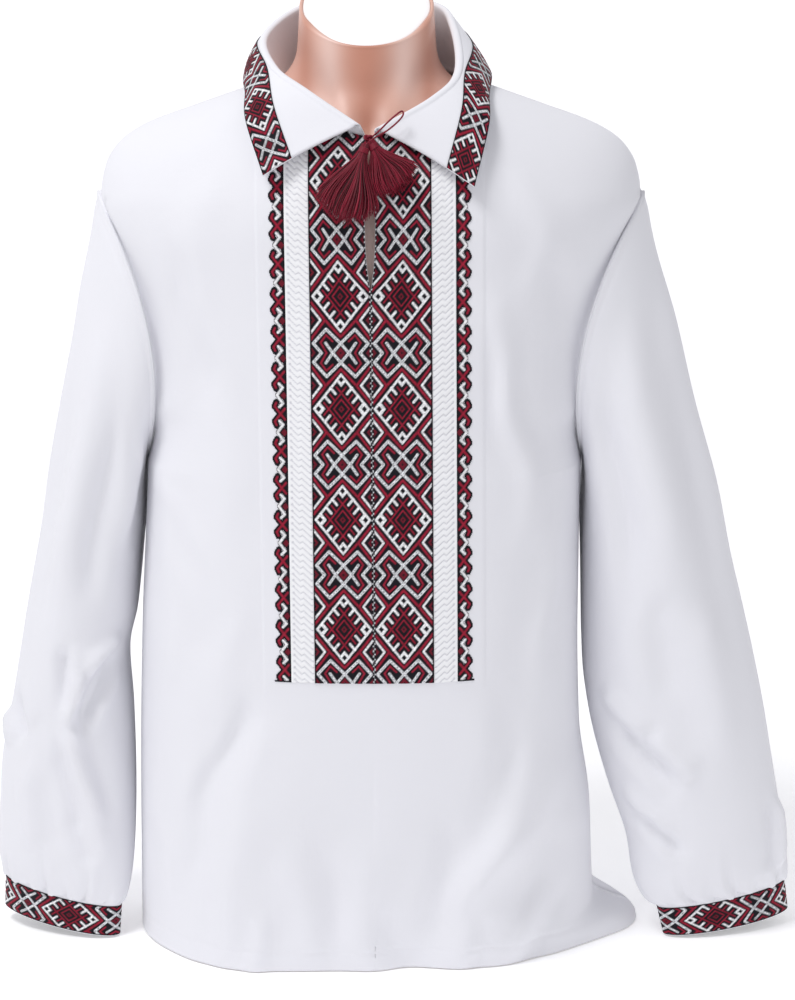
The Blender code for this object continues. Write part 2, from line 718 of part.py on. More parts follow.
# ---------------------------------------------------------------- whole part
def main():
    for old in list(bpy.data.objects):
        bpy.data.objects.remove(old, do_unlink=True)
    collection = bpy.data.collections.new("vyshyvanka_shirt")
    bpy.context.scene.collection.children.link(collection)

    cotton = material("white_cotton", COTTON, 0.85)
    lace = material("lace_insertion", LACE_WHITE, 0.85)
    stitched = material("cross_stitch", EMBROIDERY, 0.75)
    tie = material("burgundy_thread", BURGUNDY, 0.7)
    skin = material("form_plastic", SKIN, 0.4)
    cap = material("neck_cap_plastic", CAP_WHITE, 0.5)

    build_form(skin, cap, collection)
    _, left, right = build_front(cotton, collection)
    build_back(cotton, collection)
    lace_start = STRIP_WIDTH + SEAM_GAP
    edging_start = STRIP_WIDTH + LACE_WIDTH + SEAM_GAP
    for word, half, side in (("left", left, -1), ("right", right, 1)):
        strip_piece(f"panel_{word}", half, side, SEAM_GAP / 2, STRIP_WIDTH, stitched, collection)
        strip_piece(f"lace_{word}", half, side, lace_start, STRIP_WIDTH + LACE_WIDTH, lace,
                    collection)
        strip_piece(f"edging_{word}", half, side, edging_start, PANEL_HALF_WIDTH, stitched,
                    collection)
    build_sleeve("sleeve_left", LEFT_SLEEVE, cotton, collection)
    build_sleeve("sleeve_right", RIGHT_SLEEVE, cotton, collection)
    build_cuff("cuff_left", LEFT_CUFF, stitched, collection)
    build_cuff("cuff_right", RIGHT_CUFF, stitched, collection)
    build_collar(cotton, stitched, collection)
    for name, top, bottom, top_radius, bottom_radius, flattening in TASSELS:
        build_tassel(name, top, bottom, top_radius, bottom_radius, flattening, tie, collection)
    build_knot(tie, collection)
    build_cord(tie, collection)


main()
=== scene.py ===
"""Vyshyvanka shirt on a limbless torso dress form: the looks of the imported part.

Units are metres, +Z is up, the wearer faces -Y and the left of the view from the front is -X.
Every piece is a surface of two parameters on a grid.  The body, sleeves, collar and form follow
the part's own tables; folds, stitches, lace relief and thread are laid on top of them.
"""

import math

import bpy
import numpy as np
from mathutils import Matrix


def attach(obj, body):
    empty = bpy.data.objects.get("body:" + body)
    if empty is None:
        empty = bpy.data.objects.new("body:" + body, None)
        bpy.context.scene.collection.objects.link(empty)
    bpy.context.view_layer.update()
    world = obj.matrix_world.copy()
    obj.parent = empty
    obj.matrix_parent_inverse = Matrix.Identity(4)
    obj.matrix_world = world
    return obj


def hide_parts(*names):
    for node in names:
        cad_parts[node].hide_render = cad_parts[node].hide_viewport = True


bl_info = {
    "name": "Vyshyvanka shirt",
    "version": (1, 0, 0),
    "blender": (4, 5, 0),
    "location": "View3D > Sidebar > Vyshyvanka",
    "description": "Cotton shirt with cross-stitched strips, lace insertion and tassels",
    "category": "Object",
}

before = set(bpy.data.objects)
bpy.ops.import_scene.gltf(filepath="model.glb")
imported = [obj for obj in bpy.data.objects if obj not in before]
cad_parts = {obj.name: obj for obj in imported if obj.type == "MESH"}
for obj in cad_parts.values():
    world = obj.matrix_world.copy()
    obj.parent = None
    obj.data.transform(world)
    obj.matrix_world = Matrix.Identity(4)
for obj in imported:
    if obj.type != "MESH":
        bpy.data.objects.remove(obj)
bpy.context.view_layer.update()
MM = 0.001

# ---------------------------------------------------------------- sizes of the shirt
HEM_HEIGHT = 0.0012
UNDERARM_HEIGHT = 0.440
SHOULDER_END_HEIGHT = 0.672
SHOULDER_END_ACROSS = 0.236
SEAM_LINE_Y = 0.003
ARMHOLE_HALF_DEPTH = 0.074
SHOULDER_ARCH = 0.130
SECTION_SQUARENESS = 2.5
EDGE_FADE = 3.0
FRONT_ARMHOLE_BOW = 0.028
BACK_ARMHOLE_BOW = 0.014
NECK_HALF_WIDTH = 0.080
NECK_FRONT_HEIGHT = 0.7275
NECK_BACK_HEIGHT = 0.783
SLIT_BOTTOM = 0.603
SLIT_HALF_WIDTH = 0.0042
PANEL_BOTTOM = 0.2690
STRIP_WIDTH = 0.0505
LACE_WIDTH = 0.0201
EDGING_WIDTH = 0.0136
PANEL_HALF_WIDTH = STRIP_WIDTH + LACE_WIDTH + EDGING_WIDTH
FACING_EDGE = PANEL_HALF_WIDTH + 0.0100
COLLAR_BAND_WIDTH = 0.030
COLLAR_STANDS_ABOVE = 0.0012
TRIM_LIFT = 0.0013          # strips' surface over the middle of the cotton they are sewn to

# ---------------------------------------------------------------- tables (millimetres)
SIDE_SECTIONS = (           # height, left half width, right half width
    (0, 214, 205), (60, 213, 202), (120, 212, 199), (200, 210, 188), (300, 206, 185),
    (400, 200, 185), (440, 198, 186),
)
DEPTH_SECTIONS = (          # height, front, back
    (0, 132, 140), (120, 140, 143), (200, 142, 142), (300, 139, 140), (400, 132, 137),
    (500, 126, 135), (600, 122, 134), (800, 114, 126),
)
SHOULDER_LINE = (           # across, height
    (0, 786), (50, 781), (80, 771.5), (104, 763), (150, 747), (190, 732.5), (212, 720),
    (227, 702), (236, 672),
)
# Folds: across and height of both ends, reach to each side, rise (a trough where negative).
FRONT_FOLDS = (
    (-135, 0, -118, 130, 60, 15), (105, 575, 148, 400, 26, 5), (150, 170, 105, 20, 24, 6),
    (-112, 230, -180, 20, 26, -5), (-150, 520, -150, 300, 24, -4), (60, 120, 40, 0, 30, -5),
)
BACK_FOLDS = (
    (-60, 560, -95, 80, 30, 8), (70, 540, 110, 60, 32, 9), (0, 420, 12, 0, 34, -8),
    (-150, 330, -165, 0, 26, 7), (158, 300, 165, 0, 26, -6),
)
FRONT_CREASES = (           # narrower than the folds
    (106, 600, 152, 380, 11, 3.2), (128, 560, 168, 330, 13, -2.6), (150, 400, 160, 220, 12, 2.4),
    (150, 214, 84, 62, 13, 3.8), (176, 170, 118, 46, 16, -4.2), (172, 130, 146, 30, 30, -5.0),
    (98, 92, 66, -6, 16, 2.2), (60, 150, 72, 20, 12, -1.6), (150, 80, 128, -8, 9, 2.6),
    (-106, 262, -172, 36, 12, -3.2), (-92, 240, -138, 20, 16, 2.4), (18, 70, 34, -8, 14, -2.2),
    (-60, 130, -50, -6, 18, 2.4), (4, 140, -12, -8, 22, 2.0), (-24, 110, -34, -6, 13, -2.0),
    (-170, 646, -140, 470, 12, -2.4), (-150, 650, -122, 440, 17, 2.2),
    (-184, 470, -160, 300, 10, 2.6), (-176, 420, -184, 220, 9, 2.0), (-120, 500, -132, 270, 24, 2.4),
    (-190, 440, -120, 350, 9, 1.8), (186, 436, 130, 330, 10, 2.2), (150, 640, 172, 500, 12, -2.2),
    (172, 430, 166, 230, 8, -2.4), (118, 700, 156, 610, 13, 1.8), (-116, 706, -158, 620, 15, 1.8),
    (168, 70, 150, -10, 10, -3.0), (116, 270, 140, 100, 18, -2.4), (-188, 200, -186, 10, 9, 2.6),
    (104, 48, 100, -8, 9, -2.0), (-110, 330, -160, 200, 16, 2.0), (-96, 60, -112, -8, 10, 2.4),
    (-152, 250, -130, 120, 12, -1.8), (-140, 90, -158, -8, 11, -2.6),
)
BACK_CREASES = (
    (-20, 600, -44, 330, 16, 2.4), (30, 590, 62, 300, 18, 2.2), (-110, 610, -128, 420, 14, -2.0),
    (116, 600, 134, 430, 12, 2.0), (-90, 300, -110, 30, 12, 3.0), (54, 260, 44, 10, 14, -2.6),
    (8, 240, 22, 12, 12, 2.6), (140, 250, 122, 20, 14, 2.4), (-40, 200, -30, 8, 13, -2.2),
    (-160, 520, -150, 380, 10, 1.8), (160, 500, 166, 380, 10, -1.8), (0, 700, -8, 560, 20, 1.6),
    (60, 700, 84, 600, 14, 1.4), (-64, 700, -92, 612, 14, 1.5), (172, 180, 178, 20, 9, 2.2),
)
# Sleeve rings: outer x, y, z, inner x, y, z, half depth.
RING_BOWS = (1.0, 0.62, 0.30, 0.10)
LEFT_SLEEVE = (
    (-237.8, 3, 672.5, -200.6, 3, 439, 74), (-247.4, 3, 615, -202.4, 3, 415, 75),
    (-258, 2, 555, -204, 2, 390, 75), (-272, 0, 490, -207, 0, 361, 73),
    (-286, -2, 420, -209.5, -3, 330, 71), (-300, -4, 352, -212.5, -6, 298, 68),
    (-312, -6, 290, -220, -10, 262, 64), (-325, -7, 220, -217.5, -16, 210, 59),
    (-336, -7, 165, -216.5, -24, 150, 54), (-340, -7, 115, -217.5, -33, 100, 48),
    (-343, -7, 76, -220, -41, 62, 39), (-341, -8, 54, -224, -48, 39, 27),
    (-338.5, -9, 45.5, -229, -52, 31.5, 19),
)
RIGHT_SLEEVE = (
    (237.8, 3, 672.5, 188.6, 3, 439, 74), (250, 3, 615, 189.2, 3, 413, 76),
    (267, 2, 552, 188.6, 2, 384, 77), (284, 0, 487, 188.6, 0, 350, 75),
    (303, -2, 420, 189, -3, 312, 73), (321, -4, 353, 190, -6, 272, 70),
    (337, -6, 290, 192.5, -10, 235, 66), (353, -8, 222, 201, -16, 188, 60),
    (364, -9, 162, 216, -23, 137, 54), (373, -10, 112, 232, -31, 92, 47),
    (380, -11, 72, 238.5, -39, 55, 38), (383, -12, 50, 248, -46, 36, 27),
    (380, -12, 41.5, 260, -50, 29.5, 19),
)
LEFT_CUFF = ((-338.6, -9, 44.6, -229.1, -52, 30.4, 19), (-340, -9, 15.5, -231.5, -52, 2.2, 19.5))
RIGHT_CUFF = ((380.1, -12, 40.6, 260.1, -50, 28.4, 19), (384, -12, 12.5, 266.5, -50, 2.2, 19.5))
# Sleeve folds: turn from the outer side towards the front (degrees) and place along (rings from
# the armhole) of both ends, reach to each side (millimetres), rise.
LEFT_SLEEVE_FOLDS = (
    (150, 5.5, 112, 6.3, 9, 4.5), (112, 6.3, 96, 7.1, 9, 4.0), (146, 6.0, 104, 7.0, 8, -5.0),
    (84, 5.9, 96, 7.0, 9, -3.0), (98, 7.1, 134, 8.8, 10, 3.6), (88, 7.3, 118, 8.9, 9, -3.0),
    (36, 6.9, 58, 7.5, 10, -3.6), (18, 7.2, 40, 7.6, 9, 3.0), (62, 1.0, 70, 5.2, 22, 2.6),
    (96, 1.6, 104, 5.0, 16, -2.4), (128, 0.6, 132, 3.4, 12, 2.2), (40, 2.5, 48, 6.2, 18, -2.0),
    (20, 0.6, 24, 4.6, 20, 1.8), (66, 7.8, 76, 9.6, 13, 2.6), (110, 8.6, 124, 9.8, 11, -2.4),
    (200, 1.2, 210, 5.0, 20, 2.6), (250, 0.8, 262, 5.6, 22, -2.8), (300, 1.4, 292, 5.4, 24, 2.8),
    (225, 5.6, 262, 6.8, 12, 4.0), (262, 6.9, 240, 8.6, 12, -3.4), (330, 5.8, 306, 8.8, 16, 3.0),
    (282, 6.4, 300, 8.2, 12, -2.6),
)
RIGHT_SLEEVE_FOLDS = (
    (150, 6.1, 118, 7.0, 10, 3.8), (118, 7.0, 92, 7.8, 11, 2.8), (140, 6.8, 108, 7.8, 9, -3.4),
    (150, 7.9, 120, 8.8, 9, 3.2), (146, 8.4, 118, 9.4, 8, -3.0), (70, 0.8, 82, 4.8, 20, 2.4),
    (104, 0.8, 112, 4.2, 14, -2.4), (36, 2.2, 44, 6.4, 20, -2.2), (60, 5.2, 74, 7.8, 16, 2.2),
    (26, 8.6, 40, 10.4, 8, 3.2), (14, 0.8, 20, 5.0, 18, 2.0), (92, 4.6, 98, 6.6, 14, -2.0),
    (206, 1.0, 214, 5.2, 20, 2.6), (246, 1.2, 256, 5.2, 20, -2.6), (298, 0.9, 286, 5.8, 24, 3.0),
    (232, 6.0, 258, 7.4, 12, 3.8), (262, 7.6, 246, 9.2, 12, -3.0), (326, 6.2, 312, 9.0, 15, 2.8),
)
# Pleats let into the cuff: turn (degrees), half width (millimetres), depth, ring they start at.
SLEEVE_PLEATS = (
    (12, 3.6, 2.4, 10.4), (41, 3.0, 3.2, 9.4), (63, 3.4, 2.2, 10.2), (84, 2.8, 3.4, 9.0),
    (101, 3.2, 2.6, 9.9), (122, 2.8, 3.2, 9.3), (146, 3.4, 2.2, 10.3), (171, 3.2, 2.8, 9.8),
    (196, 3.4, 3.0, 9.6), (221, 3.0, 2.4, 10.2), (239, 3.2, 3.3, 9.2), (262, 3.4, 2.2, 10.3),
    (283, 3.0, 3.0, 9.7), (306, 3.2, 2.6, 9.9), (331, 3.4, 2.8, 10.1),
)
CREASE_STRENGTH = 1.7       # the tables' rises are multiplied by these
FOLD_STRENGTH = 2.5
PLEAT_STRENGTH = 1.5
SLEEVE_RELIEF_LIMITS = (-0.008, 0.009)
INNER_SIDE_FADE = 0.65      # share of a fold lost where the sleeve faces the body
# Collar cuts: turn round the neck seam, then x, y, z of the roll line and of the leaf's edge.
LEFT_COLLAR = (
    (90, 0, 73, 832, 0, 92, 790), (48, -57, 58, 828, -72, 78, 786), (8, -91, 12, 804, -106, 18, 774),
    (-28, -81, -45, 780, -104, -47, 758), (-58, -53, -79, 762, -102, -86, 738),
    (-87, -10, -101, 735, -87, -116, 697),
)
RIGHT_COLLAR = (
    (90, 0, 73, 832, 0, 92, 790), (48, 55, 58, 829, 71, 78, 787), (8, 71, 10, 812, 101, 18, 776),
    (-28, 74, -46, 777, 99, -50, 757), (-58, 54, -79, 757, 98, -88, 734),
    (-87, 7, -101, 732, 86, -117, 688),
)
FORM_SECTIONS = (           # height, half width, front, back, squareness (not in millimetres)
    (0, 156, 92, 98, 2.3), (70, 163, 99, 108, 2.3), (160, 158, 97, 104, 2.3),
    (270, 143, 92, 94, 2.3), (370, 149, 98, 99, 2.3), (470, 165, 107, 108, 2.4),
    (550, 176, 110, 114, 2.4), (620, 194, 105, 114, 2.2), (665, 208, 97, 106, 2.0),
    (692, 211, 91, 94, 1.8), (711, 205, 86, 80, 1.65), (725, 187, 82, 71, 1.55),
    (738, 158, 77, 64, 1.55), (750, 120, 69, 59, 1.5), (761, 87, 62, 57, 1.55),
    (773, 68, 59, 56, 1.8), (788, 60, 57, 56, 2.0),
)
NECK_RADIUS = 0.0575
NECK_TOP_HEIGHT = 0.8295
NECK_TOP_SLOPE = 0.60

CUT_NORMAL = np.array((0, -NECK_TOP_SLOPE, 1.0)) / math.hypot(1, NECK_TOP_SLOPE)

KNOT_CENTRE = (-0.001, -0.1075, 0.7265)
CORD_DIAMETER = 0.0015
CORD_ROUTE = (
    (2.4, -108.3, 728.1), (8.5, -110.5, 733.5), (15.0, -110.5, 740.0), (21.5, -108.0, 745.5),
    (26.2, -105.5, 748.5), (27.8, -105.8, 747.0), (26.2, -108.5, 743.5), (20.5, -112.0, 738.0),
    (13.0, -113.5, 732.5), (3.0, -111.2, 726.6), (-3.0, -113.5, 721.0), (-8.0, -118.0, 708.0),
    (-13.0, -122.0, 695.0),
)
TASSELS = (                 # name, top, bottom, spread at the bottom, flattening, threads
    ("tassel_front", (-3.0, -113.5, 722.0), (-24.0, -135.5, 661.0), 27.0, 0.50, 520),
    ("tassel_side", (1.0, -111.0, 724.5), (24.5, -126.5, 684.0), 24.5, 0.36, 460),
)

# ---------------------------------------------------------------- stitch chart
# One quarter of the repeat, counted in stitches from the middle of the comb diamond: across to
# the strip's edge at 30 and along to the middle of the cross at 54.5.  A row is the thread, half
# the stroke's width and the places it runs through; with a single place it is a filled lozenge
# and the middle entry holds its two half sizes.
REPEAT = 109.0
STRIP_STITCHES = 60.0
DIAMOND_CHART = (
    ("red", 1.6, ((30, 4), (15.2, 22.6), (0, 38.9))),
    ("red", 1.5, ((15.2, 22.8), (30, 42.6))),
    ("white", 1.2, ((31, 8.4), (19.6, 22.8), (31, 37.2))),
    ("red", (5.4, 6.4), ((30, 22.8),)),
    ("black", (2.8, 3.3), ((30, 22.8),)),
    ("white", 1.25, ((26.9, 0), (0, 33.3))),
    ("white", (6.4, 8.0), ((22.2, 0),)),
    ("white", (5.8, 7.1), ((0, 28.3),)),
    ("black", (2.8, 3.2), ((22.7, 0),)),
    ("black", (2.7, 3.1), ((0, 28.7),)),
    ("white", 1.4, ((11.4, 6.5), (16.4, 12.4))),
    ("white", 1.4, ((5.7, 14.8), (10.6, 20.6))),
    ("red", 1.0, ((0, 15.8), (12.5, 0), (17.3, 6.0))),
    ("red", 1.0, ((0, 15.8), (4.7, 21.4))),
    ("red", 1.0, ((6.3, 7.9), (11.2, 14.1))),
    ("red", 0.9, ((7.6, 0), (0, 9.4))),
    ("red", (3.2, 3.9), ((0, 0),)),
    ("black", (1.1, 1.4), ((0, 0),)),
)
# The same, counted from the middle of the cross towards the diamond.
CROSS_CHART = (
    ("silver", 1.5, ((0, 9.3), (14.2, 23.0), (27.0, 9.1), (19.0, 0))),
    ("silver", 1.4, ((0, 9.3), (8.0, 0), (14.8, 9.7))),
    ("red", 1.2, ((8.0, 11.4), (14.3, 17.3), (19.8, 9.9), (14.0, 0))),
    ("red", (4.6, 5.9), ((0, 0),)),
    ("black", (1.2, 1.5), ((0, 0),)),
    ("red", (5.4, 6.8), ((30, 0),)),
    ("black", (2.6, 3.2), ((30, 0),)),
)
# Edging, counted out from its inner line and along from the middle of a hooked cross.
EDGING_REPEAT = REPEAT / 3
EDGING_STITCHES = 16.0
EDGING_CHART = (
    ("black", 1.5, ((1.2, 0), (1.2, 19))),
    ("black", 2.7, ((1.6, 6.0), (6.4, 0), (12.4, 7.4), (10.4, 11.6))),
    ("black", (8.4, 6.6), ((0.4, 18.15),)),
    ("red", (3.4, 3.9), ((3.0, 18.15),)),
    ("white", 1.4, ((9.8, 18.15), (4.0, 10.4), (7.6, 6.8))),
    ("red", 1.45, ((2.2, 5.2), (6.4, 0), (12.2, 7.4), (10.6, 10.8))),
)
TAPE_STITCH_ACROSS = 0.0008     # collar and cuffs: the same chart at four fifths
TAPE_STITCH_ALONG = 0.000715


# ---------------------------------------------------------------- settings a user would change
class CottonSettings(bpy.types.PropertyGroup):
    """Shirting: body, sleeves, collar leaves and facings."""
    colour: bpy.props.StringProperty(
        name="Cotton colour", description="Bleached plain-weave shirting, sRGB hex",
        default="#e9e9ee")
    lace_colour: bpy.props.StringProperty(
        name="Lace colour", description="Insertion lace, sRGB hex", default="#f3f3f5")
    wall: bpy.props.FloatProperty(
        name="Cloth thickness", description="Wall of the single cotton layer",
        default=0.0007, min=0.0003, max=0.0012, unit="LENGTH", subtype="DISTANCE")
    thread_spacing: bpy.props.FloatProperty(
        name="Thread spacing", description="Spacing of the weave as it is drawn",
        default=0.0012, min=0.0004, max=0.003, unit="LENGTH", subtype="DISTANCE")


class StitchSettings(bpy.types.PropertyGroup):
    """Embroidery threads."""
    black: bpy.props.StringProperty(
        name="Black thread", description="Ground of the strips, sRGB hex", default="#0b0814")
    red: bpy.props.StringProperty(
        name="Red thread", description="Wine red cotton thread, sRGB hex", default="#700d24")
    # painted highlight: a lighter red laid on the crown of every red stroke
    bright: bpy.props.StringProperty(
        name="Bright red thread", description="Red where a stroke's crown catches light, sRGB hex",
        default="#ad1b38")
    white: bpy.props.StringProperty(
        name="White thread", description="Satin-stitched white, sRGB hex", default="#f4f4f6")
    silver: bpy.props.StringProperty(
        name="Grey-white thread", description="White in small crosses over black, sRGB hex",
        default="#eef0f3")
    relief: bpy.props.FloatProperty(
        name="Stitch height", description="How far a stroke of stitches stands up",
        default=0.00028, min=0.0, max=0.001, unit="LENGTH", subtype="DISTANCE")
    spacing: bpy.props.FloatProperty(
        name="Mesh spacing", description="Spacing of the grid that carries the stitches",
        default=0.00065, min=0.0004, max=0.002, unit="LENGTH", subtype="DISTANCE")


class TieSettings(bpy.types.PropertyGroup):
    """Burgundy cord and tassels."""
    colour: bpy.props.StringProperty(
        name="Tie colour", description="Burgundy floss, sRGB hex", default="#a01a38")
    # painted shade: a darker floss colour that stands for the shade between and deep inside the
    # strands
    painted_shade: bpy.props.StringProperty(
        name="Tie shade", description="Burgundy floss deep in the tassel, sRGB hex",
        default="#420512")
    thread_radius: bpy.props.FloatProperty(
        name="Floss radius", description="Radius of one strand as it is drawn",
        default=0.00042, min=0.0002, max=0.001, unit="LENGTH", subtype="DISTANCE")


class FormSettings(bpy.types.PropertyGroup):
    """Dress form."""
    colour: bpy.props.StringProperty(
        name="Form colour", description="Painted plastic, sRGB hex", default="#dcb0a0")
    # painted shade: this darker, warmer paint stands for the shade down the middle of the neck and
    # along its sides
    shade: bpy.props.StringProperty(
        name="Form shade", description="Warmer paint in the hollows, sRGB hex", default="#b9755c")
    # painted highlight: this paler paint stands for light on the neck's cords and on the chest behind
    # the slit
    sheen: bpy.props.StringProperty(
        name="Form pale", description="Paler paint along the neck's cords, sRGB hex",
        default="#f0d8d0")
    cap: bpy.props.StringProperty(
        name="Neck cap colour", description="White plastic cap, sRGB hex", default="#fbfafa")


class StageSettings(bpy.types.PropertyGroup):
    """Floor, lights and camera."""
    floor: bpy.props.StringProperty(
        name="Floor colour", description="Pale paper floor, sRGB hex", default="#fafafb")
    key_power: bpy.props.FloatProperty(
        name="Key power", description="Large soft light from the upper left", default=43.0,
        min=0.0, max=500.0, unit="POWER")
    fill_power: bpy.props.FloatProperty(
        name="Fill power", description="Soft light from the other side", default=3.0,
        min=0.0, max=500.0, unit="POWER")
    sky: bpy.props.FloatProperty(
        name="Room light", description="Even light from all round", default=0.56,
        min=0.0, max=3.0)


GROUPS = (
    ("shirt_cotton", CottonSettings), ("shirt_stitch", StitchSettings),
    ("shirt_tie", TieSettings), ("shirt_form", FormSettings), ("shirt_stage", StageSettings),
)


# ---------------------------------------------------------------- smooth reading of tables
def smooth(at, table, column):
    """A table's column read at places of its first column, by a monotone cubic."""
    xs, ys = (np.array([row[k] for row in table], dtype=float) * MM for k in (0, column))
    at = np.clip(np.asarray(at, dtype=float), xs[0], xs[-1])
    steps = np.diff(xs)
    slopes = np.diff(ys) / steps
    tangents = np.zeros_like(ys)
    same = slopes[:-1] * slopes[1:] > 0
    total = np.where(same, slopes[:-1] + slopes[1:], 1)
    tangents[1:-1] = np.where(same, 2 * slopes[:-1] * slopes[1:] / total, 0)
    tangents[0] = slopes[0]
    tangents[-1] = slopes[-1]
    index = np.clip(np.searchsorted(xs, at, side="right") - 1, 0, len(xs) - 2)
    h = steps[index]
    t = (at - xs[index]) / h
    return ((2 * t**3 - 3 * t**2 + 1) * ys[index] + (t**3 - 2 * t**2 + t) * h * tangents[index]
            + (3 * t**2 - 2 * t**3) * ys[index + 1] + (t**3 - t**2) * h * tangents[index + 1])


def catmull(at, values):
    """Values read at fractional places by a smooth curve through every one of them."""
    values = np.asarray(values, dtype=float)
    padded = np.concatenate(([2 * values[0] - values[1]], values,
                             [2 * values[-1] - values[-2]]))
    index = np.clip(np.floor(at).astype(int), 0, len(values) - 2)
    t = at - index
    p0, p1, p2, p3 = (padded[index + k] for k in range(4))
    return 0.5 * (2 * p1 + (p2 - p0) * t + (2 * p0 - 5 * p1 + 4 * p2 - p3) * t**2
                  + (3 * p1 - p0 - 3 * p2 + p3) * t**3)


def distance_to_run(x, y, x1, y1, x2, y2):
    """Distance from every place to a straight run with round ends."""
    run_x, run_y = x2 - x1, y2 - y1
    along = np.clip(((x - x1) * run_x + (y - y1) * run_y) / (run_x**2 + run_y**2), 0, 1)
    return np.hypot(x - x1 - along * run_x, y - y1 - along * run_y)


def ease(value):
    """0 below 0, 1 above 1 and a smooth step between."""
    value = np.clip(value, 0, 1)
    return value * value * (3 - 2 * value)


def crease_rise(x, z, rows):
    """Sum of creases, in metres: each tapers to nothing at its ends, wanders a little and has a
    soft valley on one side of its ridge."""
    bent_x = x + 0.006 * np.sin(z * 24 + x * 13) + 0.003 * np.sin(z * 61 - x * 29)
    bent_z = z + 0.005 * np.sin(x * 37 + z * 9)
    total = np.zeros(np.broadcast(x, z).shape)
    for row in rows:
        x1, z1, x2, z2, reach, rise = (value * MM for value in row)
        run_x, run_z = x2 - x1, z2 - z1
        length = math.hypot(run_x, run_z)
        along = ((bent_x - x1) * run_x + (bent_z - z1) * run_z) / length**2
        aside = ((bent_x - x1) * run_z - (bent_z - z1) * run_x) / length
        taper = ease(along / 0.35 + 0.15) * ease((1 - along) / 0.4 + 0.15)
        spread = reach * (0.75 + 0.5 * np.clip(along, 0, 1))
        ridge = np.exp(-(aside / spread) ** 2)
        valley = 0.55 * np.exp(-((aside / spread - 1.7) / 1.2) ** 2)
        total += rise * taper * (ridge - valley)
    return total


# ---------------------------------------------------------------- body surface
def side_reach(x, z, bow):
    """Half width of the body at the side seam, then the armhole's lean bowed in by a parabola."""
    share = np.clip((z - UNDERARM_HEIGHT) / (SHOULDER_END_HEIGHT - UNDERARM_HEIGHT), 0, 1)
    width = np.where(x < 0, smooth(z, SIDE_SECTIONS, 1), smooth(z, SIDE_SECTIONS, 2))
    return width + (SHOULDER_END_ACROSS - width) * share - 4 * bow * share * (1 - share)


def shoulder_height(x):
    """Height of the shoulder line above a place across."""
    return smooth(np.abs(x), SHOULDER_LINE, 1)


def fold_rise(x, z, folds):
    """Sum of folds, each a bell curve away from its straight run."""
    total = np.zeros(np.broadcast(x, z).shape)
    for row in folds:
        x1, z1, x2, z2, reach, rise = (value * MM for value in row)
        total += rise * np.exp(-(distance_to_run(x, z, x1, z1, x2, z2) / reach) ** 2)
    return total


def body_depth(x, z, column, ridge, folds, creases, bow):
    """Depth of the cloth from the seam line.

    A superellipse section times a quarter-circle arch below the ridge, with the armhole's half
    ellipse added at the section's end and the folds fading out there.
    """
    armhole_half = (SHOULDER_END_HEIGHT - UNDERARM_HEIGHT) / 2
    turn = np.clip((z - UNDERARM_HEIGHT - armhole_half) / armhole_half, -1, 1)
    edge = ARMHOLE_HALF_DEPTH * np.sqrt(1 - turn**2)
    arch = np.sqrt(1 - (1 - np.clip((ridge - z) / SHOULDER_ARCH, 0, 1)) ** 2)
    fade = EDGE_FADE + 5 * (1 - ease((z - UNDERARM_HEIGHT) / 0.055))
    share = np.clip(np.abs(x) / side_reach(x, z, bow), 0, 1)
    curve = (1 - share**SECTION_SQUARENESS) ** (1 / SECTION_SQUARENESS)
    rise = fold_rise(x, z, folds) + CREASE_STRENGTH * crease_rise(x, z, creases) * arch
    return (smooth(z, DEPTH_SECTIONS, column) * arch + rise) * curve + edge * (1 - curve)**fade


def under_panel(x, z):
    """1 away from the embroidered panel and 0 under it, where creases would lift the strips."""
    beside = ease((np.abs(x - panel_middle(z)) - PANEL_HALF_WIDTH - 0.002) / 0.020)
    return np.maximum(beside, ease((PANEL_BOTTOM - 0.004 - z) / 0.030))


def facing_step(x, z):
    """The facing sewn behind the panel makes the cloth stand a little forward up to its edge."""
    beyond = (np.abs(x - panel_middle(z)) - FACING_EDGE) / 0.0018
    return 0.0007 * (1 - ease(beyond + 0.5)) * ease((z - PANEL_BOTTOM + 0.006) / 0.003)


def front_y(x, z):
    """Depth place of the front's middle surface."""
    plain = body_depth(x, z, 1, shoulder_height(x), FRONT_FOLDS, (), FRONT_ARMHOLE_BOW)
    creased = body_depth(x, z, 1, shoulder_height(x), FRONT_FOLDS, FRONT_CREASES,
                         FRONT_ARMHOLE_BOW)
    return SEAM_LINE_Y - plain - (creased - plain) * under_panel(x, z) - facing_step(x, z)


def back_y(x, z):
    """Depth place of the back's middle surface; its ridge is raised behind the neck."""
    raised = 0.020 * np.clip(1 - (x / NECK_HALF_WIDTH) ** 2, 0, 1)
    return SEAM_LINE_Y + 0.0004 + body_depth(x, z, 2, shoulder_height(x) + raised, BACK_FOLDS,
                                             BACK_CREASES, BACK_ARMHOLE_BOW)


def neck_height(x, middle_height):
    """Height of the neckline, and the shoulder line beyond its ends."""
    share = np.clip(np.abs(x) / NECK_HALF_WIDTH, 0, 1)
    end = shoulder_height(np.array(NECK_HALF_WIDTH))
    line = middle_height + (end - middle_height) * share**1.7
    return np.where(np.abs(x) < NECK_HALF_WIDTH, line, shoulder_height(x))


def slit_half(z):
    """Half width of the neck slit: nothing below its foot, widest above the middle."""
    share = np.clip((z - SLIT_BOTTOM) / (NECK_FRONT_HEIGHT - SLIT_BOTTOM), 0, 1)
    return SLIT_HALF_WIDTH * np.sin(np.pi * np.minimum(share, 0.92) ** 0.8)


def panel_middle(z):
    """The panel leans a little: its middle moves towards +X lower down."""
    return 0.0035 * np.clip((0.70 - z) / (0.70 - PANEL_BOTTOM), 0, 1)


def panel_place(side, offset, z):
    """Place across of an offset from the panel's middle; the slit pushes the strips aside."""
    pushed = slit_half(z) * np.clip(1 - offset / STRIP_WIDTH, 0, 1)
    return panel_middle(z) + side * (offset + pushed)


